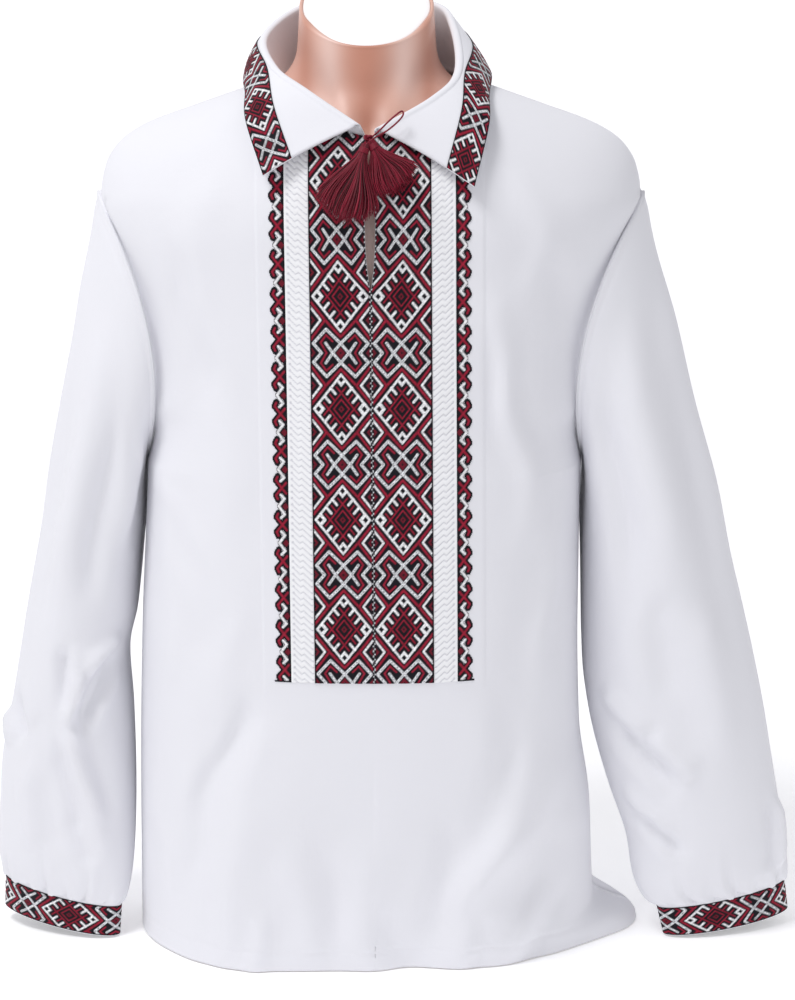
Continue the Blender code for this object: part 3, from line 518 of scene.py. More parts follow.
def hem_flare(points):
    """Push the hem's right corner out, where the cloth stands on the surface."""
    x, y, z = points[..., 0], points[..., 1], points[..., 2]
    near_side = np.clip((x - 0.10) / 0.10, 0, 1) ** 3
    out = near_side * np.exp(-(z / 0.021) ** 4) * np.exp(-((y + 0.01) / 0.060) ** 2)
    points[..., 0] = x + 0.040 * out
    return points


def body_half(side, depth_at, neck_middle, bow, outer=38, upper=56):
    """One half of the front or back, rows upward and columns from the centre line out.

    Rows are even up to the underarm and follow the turn of the armhole above it.  Columns are
    even across the panel and follow a quarter sine beyond it, so they bunch at the side seam.
    """
    offsets = np.concatenate((np.linspace(0, PANEL_HALF_WIDTH, 26),
                              FACING_EDGE + np.linspace(-0.004, 0.004, 9)))
    inner = len(offsets)
    inside = offsets[-1]
    shares = np.sin(np.linspace(0, 1, outer + 1)[1:] * math.pi / 2)
    outer_tops = side * (inside + (SHOULDER_END_ACROSS - inside) * shares)
    shares = shares[None, :]
    tops = np.concatenate((neck_height(side * offsets, neck_middle), shoulder_height(outer_tops)))
    below = np.concatenate((np.linspace(HEM_HEIGHT, 0.030, 18),
                            np.linspace(0.030, UNDERARM_HEIGHT, 86)[1:-1]))
    turn = (1 - np.cos(np.linspace(0, math.pi, upper))) / 2
    z = np.vstack((np.repeat(below[:, None], len(tops), axis=1),
                   UNDERARM_HEIGHT + turn[:, None] * (tops - UNDERARM_HEIGHT)[None, :]))
    reach = side_reach(np.full_like(z[:, inner:], side), z[:, inner:], bow)
    edge = panel_place(side, inside, z[:, inner:])
    x = np.concatenate((panel_place(side, offsets[None, :], z[:, :inner]),
                        edge + (side * reach - edge) * shares), axis=1)
    return hem_flare(np.stack((x, depth_at(x, z), z), axis=-1))


def body_seams(points, edge_columns):
    """Stitching that draws the cloth in: a line over the hem and one along the armhole's edge."""
    normals = grid_normals(points)
    hem = np.exp(-((points[..., 2] - 0.019) / 0.0022) ** 2) * 0.0005
    column = np.arange(points.shape[1])
    from_edge = np.minimum(column, points.shape[1] - 1 - column)
    armhole = np.where(points[..., 2] > UNDERARM_HEIGHT,
                       0.0014 * np.exp(-((from_edge[None, :] - edge_columns) / 1.6) ** 2), 0)
    return points - normals * (hem + armhole)[..., None]


# ---------------------------------------------------------------- meshes
def grid_normals(points, wrap=False):
    """Unit normals of a grid of points from its central differences."""
    up = np.gradient(points, axis=0)
    if wrap:
        across = np.roll(points, -1, axis=1) - np.roll(points, 1, axis=1)
    else:
        across = np.gradient(points, axis=1)
    normals = np.cross(across, up)
    length = np.linalg.norm(normals, axis=2, keepdims=True)
    return normals / np.where(length > 0, length, 1)


def grid_quads(rows, columns, wrap=False):
    """Corner numbers of every quad of a grid, whose columns may close on themselves."""
    i, j = np.meshgrid(np.arange(rows - 1), np.arange(columns if wrap else columns - 1),
                       indexing="ij")
    k = (j + 1) % columns
    return np.stack((i * columns + j, i * columns + k, (i + 1) * columns + k,
                     (i + 1) * columns + j), axis=-1).reshape(-1, 4)


def cloth_uv(points):
    """Run of the cloth in metres: across on the middle row, along on the middle column."""
    def run(line):
        steps = np.linalg.norm(np.diff(line, axis=0), axis=1)
        return np.concatenate(([0.0], np.cumsum(steps)))
    across = run(points[points.shape[0] // 2])
    along = run(points[:, points.shape[1] // 2])
    u, v = np.meshgrid(across, along)
    return np.stack((u, v), axis=-1).reshape(-1, 2)


def make_piece(name, points, faces, looks, uv=None, colours=None, face_looks=None):
    """A mesh object from arrays of places and faces, riding on the part's one body."""
    mesh = bpy.data.meshes.new(name)
    mesh.from_pydata(points.reshape(-1, 3).tolist(), [], faces.tolist())
    for look in looks:
        mesh.materials.append(look)
    if uv is not None:
        layer = mesh.uv_layers.new(name="cloth")
        layer.data.foreach_set("uv", uv[faces.ravel()].astype(np.float32).ravel())
    if colours is not None:
        paint = mesh.color_attributes.new(name="thread", type="FLOAT_COLOR", domain="POINT")
        rgba = np.concatenate((colours, np.ones((len(colours), 1))), axis=1)
        paint.data.foreach_set("color", rgba.astype(np.float32).ravel())
    if face_looks is not None:
        mesh.polygons.foreach_set("material_index", face_looks.astype(np.int32))
    mesh.shade_smooth()
    mesh.update()
    piece = bpy.data.objects.new(name, mesh)
    bpy.context.scene.collection.objects.link(piece)
    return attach(piece, "root")


def add_wall(piece, thickness, offset=0.0):
    """Give an open surface its wall."""
    wall = piece.modifiers.new("wall", "SOLIDIFY")
    wall.thickness = thickness
    wall.offset = offset
    wall.use_even_offset = False
    return piece


def sheet_piece(name, points, looks, wall, wrap=False, offset=0.0):
    """A cloth piece with a wall from rows by columns of places."""
    rows, columns = points.shape[:2]
    piece = make_piece(name, points, grid_quads(rows, columns, wrap), looks, cloth_uv(points))
    return add_wall(piece, wall, offset)


# ---------------------------------------------------------------- materials
def linear(code):
    """Linear RGB of an sRGB hex colour."""
    parts = np.array([int(code[i:i + 2], 16) for i in (1, 3, 5)]) / 255
    return np.where(parts <= 0.04045, parts / 12.92, ((parts + 0.055) / 1.055) ** 2.4)


def add_node(tree, kind, settings=None, values=None, links=None):
    """Add a node with its own settings, its sockets' values and the outputs that feed them."""
    node = tree.nodes.new(kind)
    for key, value in (settings or {}).items():
        setattr(node, key, value)
    for key, value in (values or {}).items():
        node.inputs[key].default_value = value
    for key, output in (links or {}).items():
        tree.links.new(output, node.inputs[key])
    return node


def new_material(name, code, **sockets):
    """A Principled material with one colour; sockets are set by name with _ for spaces."""
    look = bpy.data.materials.new(name)
    look.use_nodes = True
    look.diffuse_color = (*linear(code), 1.0)
    shader = look.node_tree.nodes["Principled BSDF"]
    shader.inputs["Base Color"].default_value = (*linear(code), 1.0)
    for key, value in sockets.items():
        shader.inputs[key.replace("_", " ")].default_value = value
    return look, look.node_tree, shader


def woven_cotton(name, code, spacing, slub=0.35):
    """Bleached plain-weave cotton: matt, with a soft nap that lights up at grazing angles.

    The real weave has a thread each 0.3 mm; it is drawn four times coarser so that it shows.
    """
    look, tree, shader = new_material(name, code, Roughness=0.86, Sheen_Weight=0.08,
                                      Sheen_Roughness=0.5, Specular_IOR_Level=0.2,
                                      Subsurface_Weight=0.08, Subsurface_Scale=0.0010,
                                      Subsurface_Radius=(1.0, 1.0, 1.0))
    cloth = add_node(tree, "ShaderNodeUVMap", {"uv_map": "cloth"}).outputs[0]
    scale = 2 * math.pi / (20 * spacing)
    waves = [add_node(tree, "ShaderNodeTexWave", {"bands_direction": axis},
                      {"Scale": scale, "Distortion": 0.6, "Detail": 1.0},
                      {"Vector": cloth}).outputs["Fac"] for axis in ("X", "Y")]
    weave = add_node(tree, "ShaderNodeMath", {"operation": "MULTIPLY"}, links=dict(enumerate(waves)))
    rumple = add_node(tree, "ShaderNodeTexNoise", {}, {"Scale": 26.0, "Detail": 4.0},
                      {"Vector": cloth})
    fine = add_node(tree, "ShaderNodeBump", {}, {"Strength": 0.16, "Distance": 0.00014},
                    {"Height": weave.outputs[0]})
    soft = add_node(tree, "ShaderNodeBump", {}, {"Strength": slub, "Distance": 0.0022},
                    {"Height": rumple.outputs["Fac"], "Normal": fine.outputs[0]})
    tree.links.new(soft.outputs[0], shader.inputs["Normal"])
    return look


def stitched_thread(name, code):
    """Dense cross-stitch in stranded cotton: low sheen, every stitch catching the light apart.

    Stitches are 0.84 mm; the thread's own colour comes from the chart, with uneven dye.
    """
    look, tree, shader = new_material(name, code, Roughness=0.62, Sheen_Weight=0.04,
                                      Sheen_Roughness=0.4, Specular_IOR_Level=0.2)
    cloth = add_node(tree, "ShaderNodeUVMap", {"uv_map": "cloth"}).outputs[0]
    paint = add_node(tree, "ShaderNodeVertexColor", {"layer_name": "thread"})
    uneven = add_node(tree, "ShaderNodeTexNoise", {}, {"Scale": 420.0, "Detail": 5.0},
                      {"Vector": cloth})
    level = add_node(tree, "ShaderNodeMapRange", {}, {"From Min": 0.3, "From Max": 0.7,
                                                      "To Min": 0.66, "To Max": 1.16},
                     {"Value": uneven.outputs["Fac"]})
    dyed = add_node(tree, "ShaderNodeVectorMath", {"operation": "SCALE"}, {},
                    {0: paint.outputs["Color"], "Scale": level.outputs[0]})
    tree.links.new(dyed.outputs[0], shader.inputs["Base Color"])
    turned = add_node(tree, "ShaderNodeMapping", {}, {"Rotation": (0, 0, math.radians(45))},
                      {"Vector": cloth})
    rows = add_node(tree, "ShaderNodeTexWave", {"bands_direction": "X"},
                    {"Scale": 2 * math.pi / (20 * 0.0006), "Distortion": 1.2, "Detail": 1.0},
                    {"Vector": turned.outputs[0]})
    bump = add_node(tree, "ShaderNodeBump", {}, {"Strength": 0.45, "Distance": 0.00025},
                    {"Height": rows.outputs["Fac"]})
    tree.links.new(bump.outputs[0], shader.inputs["Normal"])
    return look


def spun_floss(name, code, painted_shade, combed):
    """Rayon floss: silky, with shade painted into its colour so that it is darker between its
    strands.

    Combed floss takes a painted shade for each strand from the mesh; laid floss takes it from a
    noise.
    """
    look, tree, shader = new_material(name, code, Roughness=0.48, Sheen_Weight=0.08,
                                      Sheen_Roughness=0.35, Specular_IOR_Level=0.35)
    if combed:
        shade = add_node(tree, "ShaderNodeVertexColor", {"layer_name": "thread"}).outputs["Color"]
    else:
        place = add_node(tree, "ShaderNodeTexCoord").outputs["Object"]
        patch = add_node(tree, "ShaderNodeTexNoise", {}, {"Scale": 420.0, "Detail": 2.0},
                         {"Vector": place})
        mix = add_node(tree, "ShaderNodeMix", {"data_type": "RGBA"}, {
            "A": (*linear(painted_shade), 1.0), "B": (*linear(code), 1.0)}, {"Factor": patch.outputs["Fac"]})
        shade = mix.outputs["Result"]
    tree.links.new(shade, shader.inputs["Base Color"])
    return look


def painted_plastic(name, code):
    """Rotation-moulded plastic with a satin flesh-tone paint: soft broad highlights."""
    look, tree, shader = new_material(name, code, Roughness=0.42, Coat_Weight=0.15,
                                      Coat_Roughness=0.35, IOR=1.46)
    paint = add_node(tree, "ShaderNodeVertexColor", {"layer_name": "thread"})
    tree.links.new(paint.outputs["Color"], shader.inputs["Base Color"])
    grain = add_node(tree, "ShaderNodeTexNoise", {}, {"Scale": 900.0, "Detail": 2.0},
                     {"Vector": add_node(tree, "ShaderNodeTexCoord").outputs["Object"]})
    bump = add_node(tree, "ShaderNodeBump", {}, {"Strength": 0.08, "Distance": 0.0002},
                    {"Height": grain.outputs["Fac"]})
    tree.links.new(bump.outputs[0], shader.inputs["Normal"])
    return look


def named(name):
    """A material made by an earlier operator."""
    found = bpy.data.materials.get(name)
    if found is None:
        raise RuntimeError(f"make the materials first: there is no {name}")
    return found


# ---------------------------------------------------------------- stitches
def lay_thread(state, code, cover, rise):
    """Lay a stroke over what is stitched so far: colour and height by how much it covers."""
    colours, heights, covered = state
    cover = cover[:, None]
    colours[:] = colours * (1 - cover) + np.array(code) * cover
    heights[:] = heights * (1 - cover[:, 0]) + rise * cover[:, 0]
    covered[:] = np.maximum(covered, cover[:, 0])


def work_chart(state, chart, u, v, threads, softness=0.55):
    """Work every stroke of a chart, in its order, at places counted in stitches."""
    for thread, size, places in chart:
        if len(places) == 1:
            (cu, cv), = places
            inside = 0.96 - (np.abs(u - cu) / size[0] + np.abs(v - cv) / size[1])
            cover = np.clip(inside * min(size) / softness + 0.5, 0, 1)
            rise = np.full_like(u, 0.0 if thread == "black" else 0.9)
            lay_thread(state, threads[thread], cover, rise)
            continue
        away = np.full_like(u, 1e6)
        for (u1, v1), (u2, v2) in zip(places, places[1:]):
            away = np.minimum(away, distance_to_run(u, v, u1, v1, u2, v2))
        cover = np.clip((size - 0.14 - away) / softness + 0.5, 0, 1)
        dome = np.sqrt(np.clip(1 - (away / (size + 0.3)) ** 2, 0, 1))
        lay_thread(state, threads[thread], cover, 0.15 if thread == "black" else dome)
        if thread == "red":
            # painted highlight: a brighter red along the crown of each red stroke
            crown = np.clip((0.55 * size - away) / softness + 0.5, 0, 1) * 0.72
            lay_thread(state, threads["bright"], crown, dome)
        if thread == "silver":
            # two rows of small crosses: the black ground shows in dots along the middle
            beat = np.cos(2 * math.pi * (u + v * 1.02) / 2.2) * np.cos(2 * math.pi * (u - v) / 2.2)
            dots = np.clip(1.1 - away / 0.85, 0, 1) * np.clip(0.45 + 1.1 * beat, 0, 1) * cover
            lay_thread(state, threads["black"], dots * 0.8, dome * 0.4)


def start_stitches(count, ground):
    """Colours, heights and cover of a piece before anything is stitched."""
    return (np.tile(np.array(ground, dtype=float), (count, 1)), np.zeros(count), np.zeros(count))


def stitch_repeat(across, along, threads):
    """Colour and height of the main repeat.

    Across is counted from the motif's middle and along from a comb diamond's middle.  Both are
    folded into the chart's quarter; the cross is charted from its own middle.
    """
    u = np.abs(across)
    v = np.abs((along + REPEAT / 2) % REPEAT - REPEAT / 2)
    state = start_stitches(len(u), threads["black"])
    work_chart(state, DIAMOND_CHART, u, v, threads)
    work_chart(state, CROSS_CHART, u, REPEAT / 2 - v, threads)
    # no two stitches take the light or the dye alike
    uneven = np.random.default_rng(12).uniform(-1, 1, len(u))
    state[0][:] *= (1 + 0.16 * uneven)[:, None]
    state[1][:] += 0.12 * uneven * (state[1] > 0.2)
    return state


def thread_colours(stitch):
    """Linear colours of the threads."""
    return {name: linear(getattr(stitch, name))
            for name in ("black", "red", "bright", "white", "silver")}


def raised_grid(points, lift, heights, relief, skirt=0.0011):
    """Lift a grid off the cloth by its stitches and turn its border down to the cloth.

    Returns the places with one more row or column on every side.
    """
    normals = grid_normals(points)
    top = points + normals * (lift + relief * heights.reshape(points.shape[:2]))[..., None]
    low = points + normals * (lift - skirt)
    low = np.pad(low, ((1, 1), (1, 1), (0, 0)), mode="edge")
    low[1:-1, 1:-1] = top
    return low


def bordered(values, rows, columns):
    """Repeat a grid's outermost values once on every side."""
    grid = values.reshape(rows, columns, -1)
    return np.pad(grid, ((1, 1), (1, 1), (0, 0)), mode="edge").reshape((rows + 2) * (columns + 2), -1)


def stitched_piece(name, points, state, look, lift, relief, uv, keep=None):
    """A stitched grid as a piece; keep drops the quads where nothing is stitched."""
    rows, columns = points.shape[:2]
    colours, heights, covered = state
    places = raised_grid(points, lift, heights, relief)
    faces = grid_quads(rows + 2, columns + 2)
    paint = bordered(colours, rows, columns)
    if keep is not None:
        cover = bordered(covered, rows, columns)[:, 0]
        faces = faces[cover[faces].max(axis=1) > keep]
    used, numbers = np.unique(faces, return_inverse=True)
    return make_piece(name, places.reshape(-1, 3)[used], numbers.reshape(-1, 4), [look],
                      bordered(uv, rows, columns)[used], paint[used])


# ---------------------------------------------------------------- panel on the front
def panel_grid(side, inner, outer, spacing, top_gap=0.0004):
    """Grid on the front between two offsets from the panel's middle, from its foot to the neck."""
    columns = int(round((outer - inner) / spacing)) + 1
    rows = int(round((NECK_FRONT_HEIGHT - PANEL_BOTTOM) / spacing)) + 1
    offsets = np.linspace(inner, outer, columns)
    tops = neck_height(offsets, NECK_FRONT_HEIGHT) - top_gap
    z = PANEL_BOTTOM + np.linspace(0, 1, rows)[:, None] * (tops - PANEL_BOTTOM)[None, :]
    offset = np.repeat(offsets[None, :], rows, axis=0)
    x = panel_place(side, offset, z)
    points = np.stack((x, front_y(x, z), z), axis=-1)
    if side < 0:
        points, offset = points[:, ::-1], offset[:, ::-1]
    return points, offset


def run_up_front(z):
    """Length of the cloth up the front from the panel's foot to each height."""
    levels = np.linspace(PANEL_BOTTOM, 0.79, 400)
    depth = front_y(np.full_like(levels, 0.03), levels)
    run = np.concatenate(([0.0], np.cumsum(np.hypot(np.diff(levels), np.diff(depth)))))
    return np.interp(z, levels, run)


def word_of(side):
    """The name of the view's side."""
    return "left" if side < 0 else "right"


DIAMOND_RUN = 0.0474            # from the panel's foot up to the lowest comb diamond's middle
REPEAT_LENGTH = 0.0941


def build_strip(side, stitch, threads, look):
    """One embroidered strip: the main repeat, a worked edge and the joined centre line."""
    points, offset = panel_grid(side, 0.00015, STRIP_WIDTH, stitch.spacing)
    z = points[..., 2].ravel()
    across = offset.ravel() * STRIP_STITCHES / STRIP_WIDTH
    along = (run_up_front(z) - DIAMOND_RUN) * REPEAT / REPEAT_LENGTH
    state = stitch_repeat(across - STRIP_STITCHES / 2, along, threads)
    dashes = (np.abs((along + side * 1.6) % 5.2 - 2.6) < 0.8) * (across < 1.1)
    rise = np.full_like(across, 0.6)
    lay_thread(state, threads["black"], np.clip(2.0 - across, 0, 1), rise * 0.4)
    lay_thread(state, threads["silver"], dashes * 0.8, rise)
    ragged = 58.7 + 0.35 * np.sin(along * 2.1)
    lay_thread(state, threads["black"], np.clip(across - ragged + 0.5, 0, 1), rise)
    uv = np.stack((offset.ravel(), run_up_front(z)), axis=-1)
    return stitched_piece(f"panel_{word_of(side)}_stitches", points, state, look,
                          TRIM_LIFT, stitch.relief, uv)


def build_edging(side, stitch, threads, look):
    """Hooked crosses on an inner line, stitched on the cotton itself."""
    inner = STRIP_WIDTH + LACE_WIDTH + 0.0002
    points, offset = panel_grid(side, inner, PANEL_HALF_WIDTH + 0.0008, stitch.spacing)
    z = points[..., 2].ravel()
    out = (offset.ravel() - inner) * EDGING_STITCHES / EDGING_WIDTH
    along = (run_up_front(z) - DIAMOND_RUN) * REPEAT / REPEAT_LENGTH + 6.0
    v = np.abs((along + EDGING_REPEAT / 2) % EDGING_REPEAT - EDGING_REPEAT / 2)
    state = start_stitches(len(v), threads["black"])
    work_chart(state, EDGING_CHART, out, v, threads)
    foot = np.clip((0.0016 - (z - PANEL_BOTTOM)) / 0.0004, 0, 1)
    lay_thread(state, threads["black"], foot, np.full_like(foot, 0.5))
    uv = np.stack((offset.ravel(), run_up_front(z)), axis=-1)
    return stitched_piece(f"edging_{word_of(side)}_stitches", points, state, look,
                          0.0008, stitch.relief, uv, keep=0.6)


def lace_height(across, run):
    """Relief of the lace in metres, and how deep each place lies from 0 to 1, which sets the painted
    shade in its grooves and eyelets.

    Plaited rows lean across two columns with a short step back between them, parted by thin
    grooves.  A row of eyelets runs near the outer border and a finer one near the inner.
    """
    share = across / LACE_WIDTH
    lean = np.interp(share, (0, 0.10, 0.44, 0.56, 0.84, 1), (0, 0, 1.15, 0.90, 1.9, 1.9))
    phase = (run / 0.0054 - lean) % 1 - 0.5
    groove = np.exp(-(phase / 0.10) ** 2) * ease((0.88 - share) / 0.05) * ease(share / 0.08)
    eyelet = np.hypot(across - (LACE_WIDTH - 0.0028), run % 0.0054 - 0.0027)
    inner = np.hypot(across - 0.0013, run % 0.0054 - 0.0027)
    holes = np.exp(-(eyelet / 0.00075) ** 2) + 0.5 * np.exp(-(inner / 0.0005) ** 2)
    twist = np.cos(2 * math.pi * (run / 0.0018 + share * 3.0))
    # painted shade: how much darker each place is painted, most in the eyelets and grooves
    deep = np.clip(0.55 * groove + 0.8 * holes, 0, 1)
    return 0.00008 * twist - 0.0005 * groove - 0.0010 * holes, deep


def build_lace(side, look):
    """Insertion lace between the strip and the edging."""
    points, offset = panel_grid(side, STRIP_WIDTH + 0.0001, STRIP_WIDTH + LACE_WIDTH + 0.0001,
                                0.0008)
    run = run_up_front(points[..., 2])
    across = offset - STRIP_WIDTH
    height, deep = lace_height(across, run)
    rows, columns = points.shape[:2]
    places = raised_grid(points, 0.0010, height.ravel(), 1.0)
    uv = np.stack((offset.ravel(), run.ravel()), axis=-1)
    # painted shade: the lace is painted darker where its grooves and eyelets lie deep
    light, painted_shade = linear("#f4f4f6"), linear("#a9a9b6")
    paint = light * (1 - deep.reshape(-1, 1)) + painted_shade * deep.reshape(-1, 1)
    return make_piece(f"lace_{word_of(side)}_rows", places, grid_quads(rows + 2, columns + 2),
                      [look], bordered(uv, rows, columns), bordered(paint, rows, columns))


# ---------------------------------------------------------------- sleeves and cuffs
def tube_surface(table, bows, per_ring, around):
    """Slanted rings read smoothly along a table.

    Each ring is an ellipse through its outer and inner points; near the armhole its front and
    back bow in towards the body.
    """
    at = np.linspace(0, len(table) - 1, per_ring * (len(table) - 1) + 1)
    columns = np.array(table, dtype=float).T * MM
    values = np.stack([catmull(at, column) for column in columns], axis=-1)
    bow = catmull(at, np.array(bows + (0.0,) * (len(table) - len(bows)))) if bows else at * 0
    outer, inner, half = values[:, 0:3], values[:, 3:6], values[:, 6:7]
    middle, arm = (outer + inner) / 2, (outer - inner) / 2
    side = np.sign(outer[0, 0])
    front = -np.cross((0, 0, 1), arm) * side
    front *= half / np.linalg.norm(front, axis=1, keepdims=True)
    turn = np.linspace(0, 2 * math.pi, around, endpoint=False)
    cosine, sine = np.cos(turn)[None, :, None], np.sin(turn)[None, :, None]
    points = middle[:, None] + cosine * arm[:, None] + sine * front[:, None]
    inward = np.where(points[..., 1] < middle[:, None, 1], FRONT_ARMHOLE_BOW, BACK_ARMHOLE_BOW)
    points[..., 0] -= side * inward * bow[:, None] * np.sin(turn)[None, :] ** 2
    return points, at, np.degrees(turn)


def outward(points):
    """Normals of a tube, turned away from its own axis."""
    normals = grid_normals(points, wrap=True)
    axis = points.mean(axis=1, keepdims=True)
    facing = np.sign(np.sum(normals * (points - axis), axis=2).mean())
    return normals * facing, facing


def sleeve_relief(at, degrees, folds, pleats):
    """Height of folds and pleats over a sleeve's smooth tube, in metres.

    A fold is a bell curve away from its run, measured in millimetres of cloth, tapering at its
    ends and with a soft valley on one side.  A pleat is a narrow valley beside a soft ridge that
    deepens towards the cuff.
    """
    around_mm, along_mm = 1.15, 44.0
    q = at[:, None] * along_mm
    total = np.zeros((len(at), len(degrees)))
    for turn_1, ring_1, turn_2, ring_2, reach, rise in folds:
        centred = ((degrees - turn_1 + 180) % 360 - 180)[None, :] * around_mm
        centred = centred + 3.0 * np.sin(q / 31 + turn_1)
        run_x, run_q = (turn_2 - turn_1) * around_mm, (ring_2 - ring_1) * along_mm
        length = math.hypot(run_x, run_q)
        along = (centred * run_x + (q - ring_1 * along_mm) * run_q) / length**2
        aside = (centred * run_q - (q - ring_1 * along_mm) * run_x) / length
        taper = ease(along / 0.3 + 0.2) * ease((1 - along) / 0.35 + 0.2)
        ridge = np.exp(-(aside / reach) ** 2)
        valley = 0.5 * np.exp(-((aside / reach - 1.7) / 1.2) ** 2)
        total += FOLD_STRENGTH * rise * taper * (ridge - valley)
    for turn, width, depth, start in pleats:
        centred = ((degrees - turn + 180) % 360 - 180)[None, :] * 0.95
        grows = ease((at[:, None] - start) / (12.2 - start)) ** 0.8
        wander = 1.4 * np.sin(at[:, None] * 2.1 + turn)
        valley = np.exp(-((centred + wander) / width) ** 2)
        ridge = np.exp(-((centred + wander - 1.9 * width) / (1.5 * width)) ** 2)
        total += PLEAT_STRENGTH * grows * (0.75 * depth * ridge - depth * valley)
    return total * MM


def shrunk(ring, size):
    """A ring drawn in towards its own middle."""
    middle = ring.mean(axis=1, keepdims=True)
    return (ring - middle) * size + middle


def build_sleeve(name, table, folds, look, wall):
    """Sleeve: one tube from inside the armhole seam to inside the cuff."""
    points, at, degrees = tube_surface(table, RING_BOWS, 12, 120)
    normals, facing = outward(points)
    settle = ease(at / 0.35)[:, None] * ease((11.98 - at) / 0.30)[:, None]
    relief = sleeve_relief(at, degrees, folds, SLEEVE_PLEATS) * settle
    relief = relief - 0.0010 * np.exp(-((at[:, None] - 0.10) / 0.07) ** 2)
    inner_side = np.clip(-np.cos(np.radians(degrees)), 0, 1)[None, :]
    relief = relief * (1 - INNER_SIDE_FADE * inner_side**2)
    points = points + normals * np.clip(relief, *SLEEVE_RELIEF_LIMITS)[..., None]
    # both ends are sewn in: the head tucks into the armhole and the foot into the cuff
    tucked = points[:1].copy()
    tucked[..., 0] -= np.sign(table[0][0]) * 0.0035
    inside = shrunk(points[-1:], 0.985) - (0, 0, 0.0050)
    points = np.concatenate((shrunk(tucked, 0.985), points, inside))
    if facing < 0:
        points = points[:, ::-1]
    return sheet_piece(name, points, [look], wall, wrap=True)


def build_cuff(name, table, phase, stitch, threads, looks):
    """Cuff: white cotton facing inside, and the stitched band round its outside."""
    stitched, cotton = looks
    points = tube_surface(table, (), 42, 400)[0]
    normals, facing = outward(points)
    run = np.concatenate(([0.0], np.cumsum(np.linalg.norm(
        np.diff(points[0], axis=0), axis=1))))
    total = run[-1] + np.linalg.norm(points[0, 0] - points[0, -1])
    repeats = int(total / (REPEAT * TAPE_STITCH_ALONG))
    along = run / total * repeats * REPEAT + phase
    share = np.linspace(-1, 1, len(points))
    across = share * COLLAR_BAND_WIDTH / 2 / TAPE_STITCH_ACROSS
    v, u = np.meshgrid(along, across)
    state = stitch_repeat(u.ravel(), v.ravel(), threads)
    edge = np.abs(u.ravel()) - COLLAR_BAND_WIDTH / 2 / TAPE_STITCH_ACROSS + 1.3
    lay_thread(state, threads["black"], np.clip(edge + 0.4, 0, 1), np.full(len(edge), 0.6))
    colours, heights, _ = state
    heights = heights.reshape(points.shape[:2])
    lifted = points + normals * (0.0005 + stitch.relief * heights)[..., None]
    turned_in = (points - normals * 0.0002)[[0, -1]]
    lifted = np.concatenate((turned_in[:1], lifted, turned_in[1:]))
    uv = np.stack(np.meshgrid(run, np.linspace(0, COLLAR_BAND_WIDTH, len(points))), axis=-1)
    uv = np.concatenate((uv[:1], uv, uv[-1:])).reshape(-1, 2)
    colours = colours.reshape(*points.shape[:2], 3)
    colours = np.concatenate((colours[:1], colours, colours[-1:])).reshape(-1, 3)
    faces = grid_quads(*lifted.shape[:2], True)
    if facing < 0:
        faces = faces[:, ::-1]
    band = make_piece(name, lifted, faces, [stitched], uv, colours)

    facing_points = tube_surface(table, (), 10, 120)[0]
    inner_normals, turned = outward(facing_points)
    low = facing_points[-1:] + np.array((0, 0, -0.0009))
    facing_points = np.concatenate((facing_points, low))
    inner_normals = np.concatenate((inner_normals, inner_normals[-1:]))
    inside = facing_points - inner_normals * 0.0003
    if turned < 0:
        inside = inside[:, ::-1]
    lining = sheet_piece(f"{name}_facing", inside, [cotton], 0.0007, wrap=True, offset=-1.0)
    return band, lining


# ---------------------------------------------------------------- collar
def neck_seam(turn, side):
    """A point of the neckline: turn is 90 degrees at the back and -90 in front."""
    x = side * NECK_HALF_WIDTH * np.cos(turn)
    front_z = neck_height(x, NECK_FRONT_HEIGHT)
    back_z = neck_height(x, NECK_BACK_HEIGHT)
    z = np.where(turn < 0, front_z, back_z)
    y = np.where(turn < 0, front_y(x, front_z), back_y(x, back_z))
    return np.stack((x, y, z + COLLAR_STANDS_ABOVE), axis=-1)


def collar_lines(per_side):
    """Seam, roll and edge lines of the whole collar, from the left front round to the right."""
    lines = []
    for table, side in ((LEFT_COLLAR, -1), (RIGHT_COLLAR, 1)):
        at = np.linspace(0, len(table) - 1, per_side + 1)
        values = np.stack([catmull(at, column) for column in np.array(table, dtype=float).T])
        seam = neck_seam(np.radians(np.clip(values[0], -89, 90)), side)
        lines.append(np.concatenate((seam, values[1:].T * MM), axis=1))
    whole = np.concatenate((lines[0][::-1], lines[1][1:]))
    return whole[:, 0:3], whole[:, 3:6], whole[:, 6:9]


def leaf_curve(roll, edge, out, t):
    """The leaf from the roll to its edge: a quadratic curve that bulges over the shoulder."""
    start = roll + out * 0.0028
    bulge = out * 0.003 + np.array((0, 0, 0.001))
    control = (start + edge) / 2 + bulge * 1.6
    return (1 - t) ** 2 * start + 2 * t * (1 - t) * control + t**2 * edge


def collar_out(roll, edge):
    """Level unit directions from the roll line to the edge."""
    out = edge - roll
    out[:, 2] = 0
    return out / np.linalg.norm(out, axis=1, keepdims=True)


def collar_surface(per_side=90):
    """Rows of the collar: up the stand, round the roll and down the leaf."""
    seam, roll, edge = collar_lines(per_side)
    out = collar_out(roll, edge)
    up = np.array((0, 0, 1.0))
    foot = roll - out * 0.0028
    tucked = seam - up * 0.003 - out * 0.0012
    rows = [tucked] + [seam + (foot - seam) * t for t in np.linspace(0, 1, 16)]
    for angle in np.linspace(0, math.pi, 9)[1:-1]:
        rows.append(roll - out * 0.0028 * math.cos(angle) + up * 0.0022 * math.sin(angle))
    rows += [leaf_curve(roll, edge, out, t) for t in np.linspace(0, 1, 40)]
    return np.stack(rows)


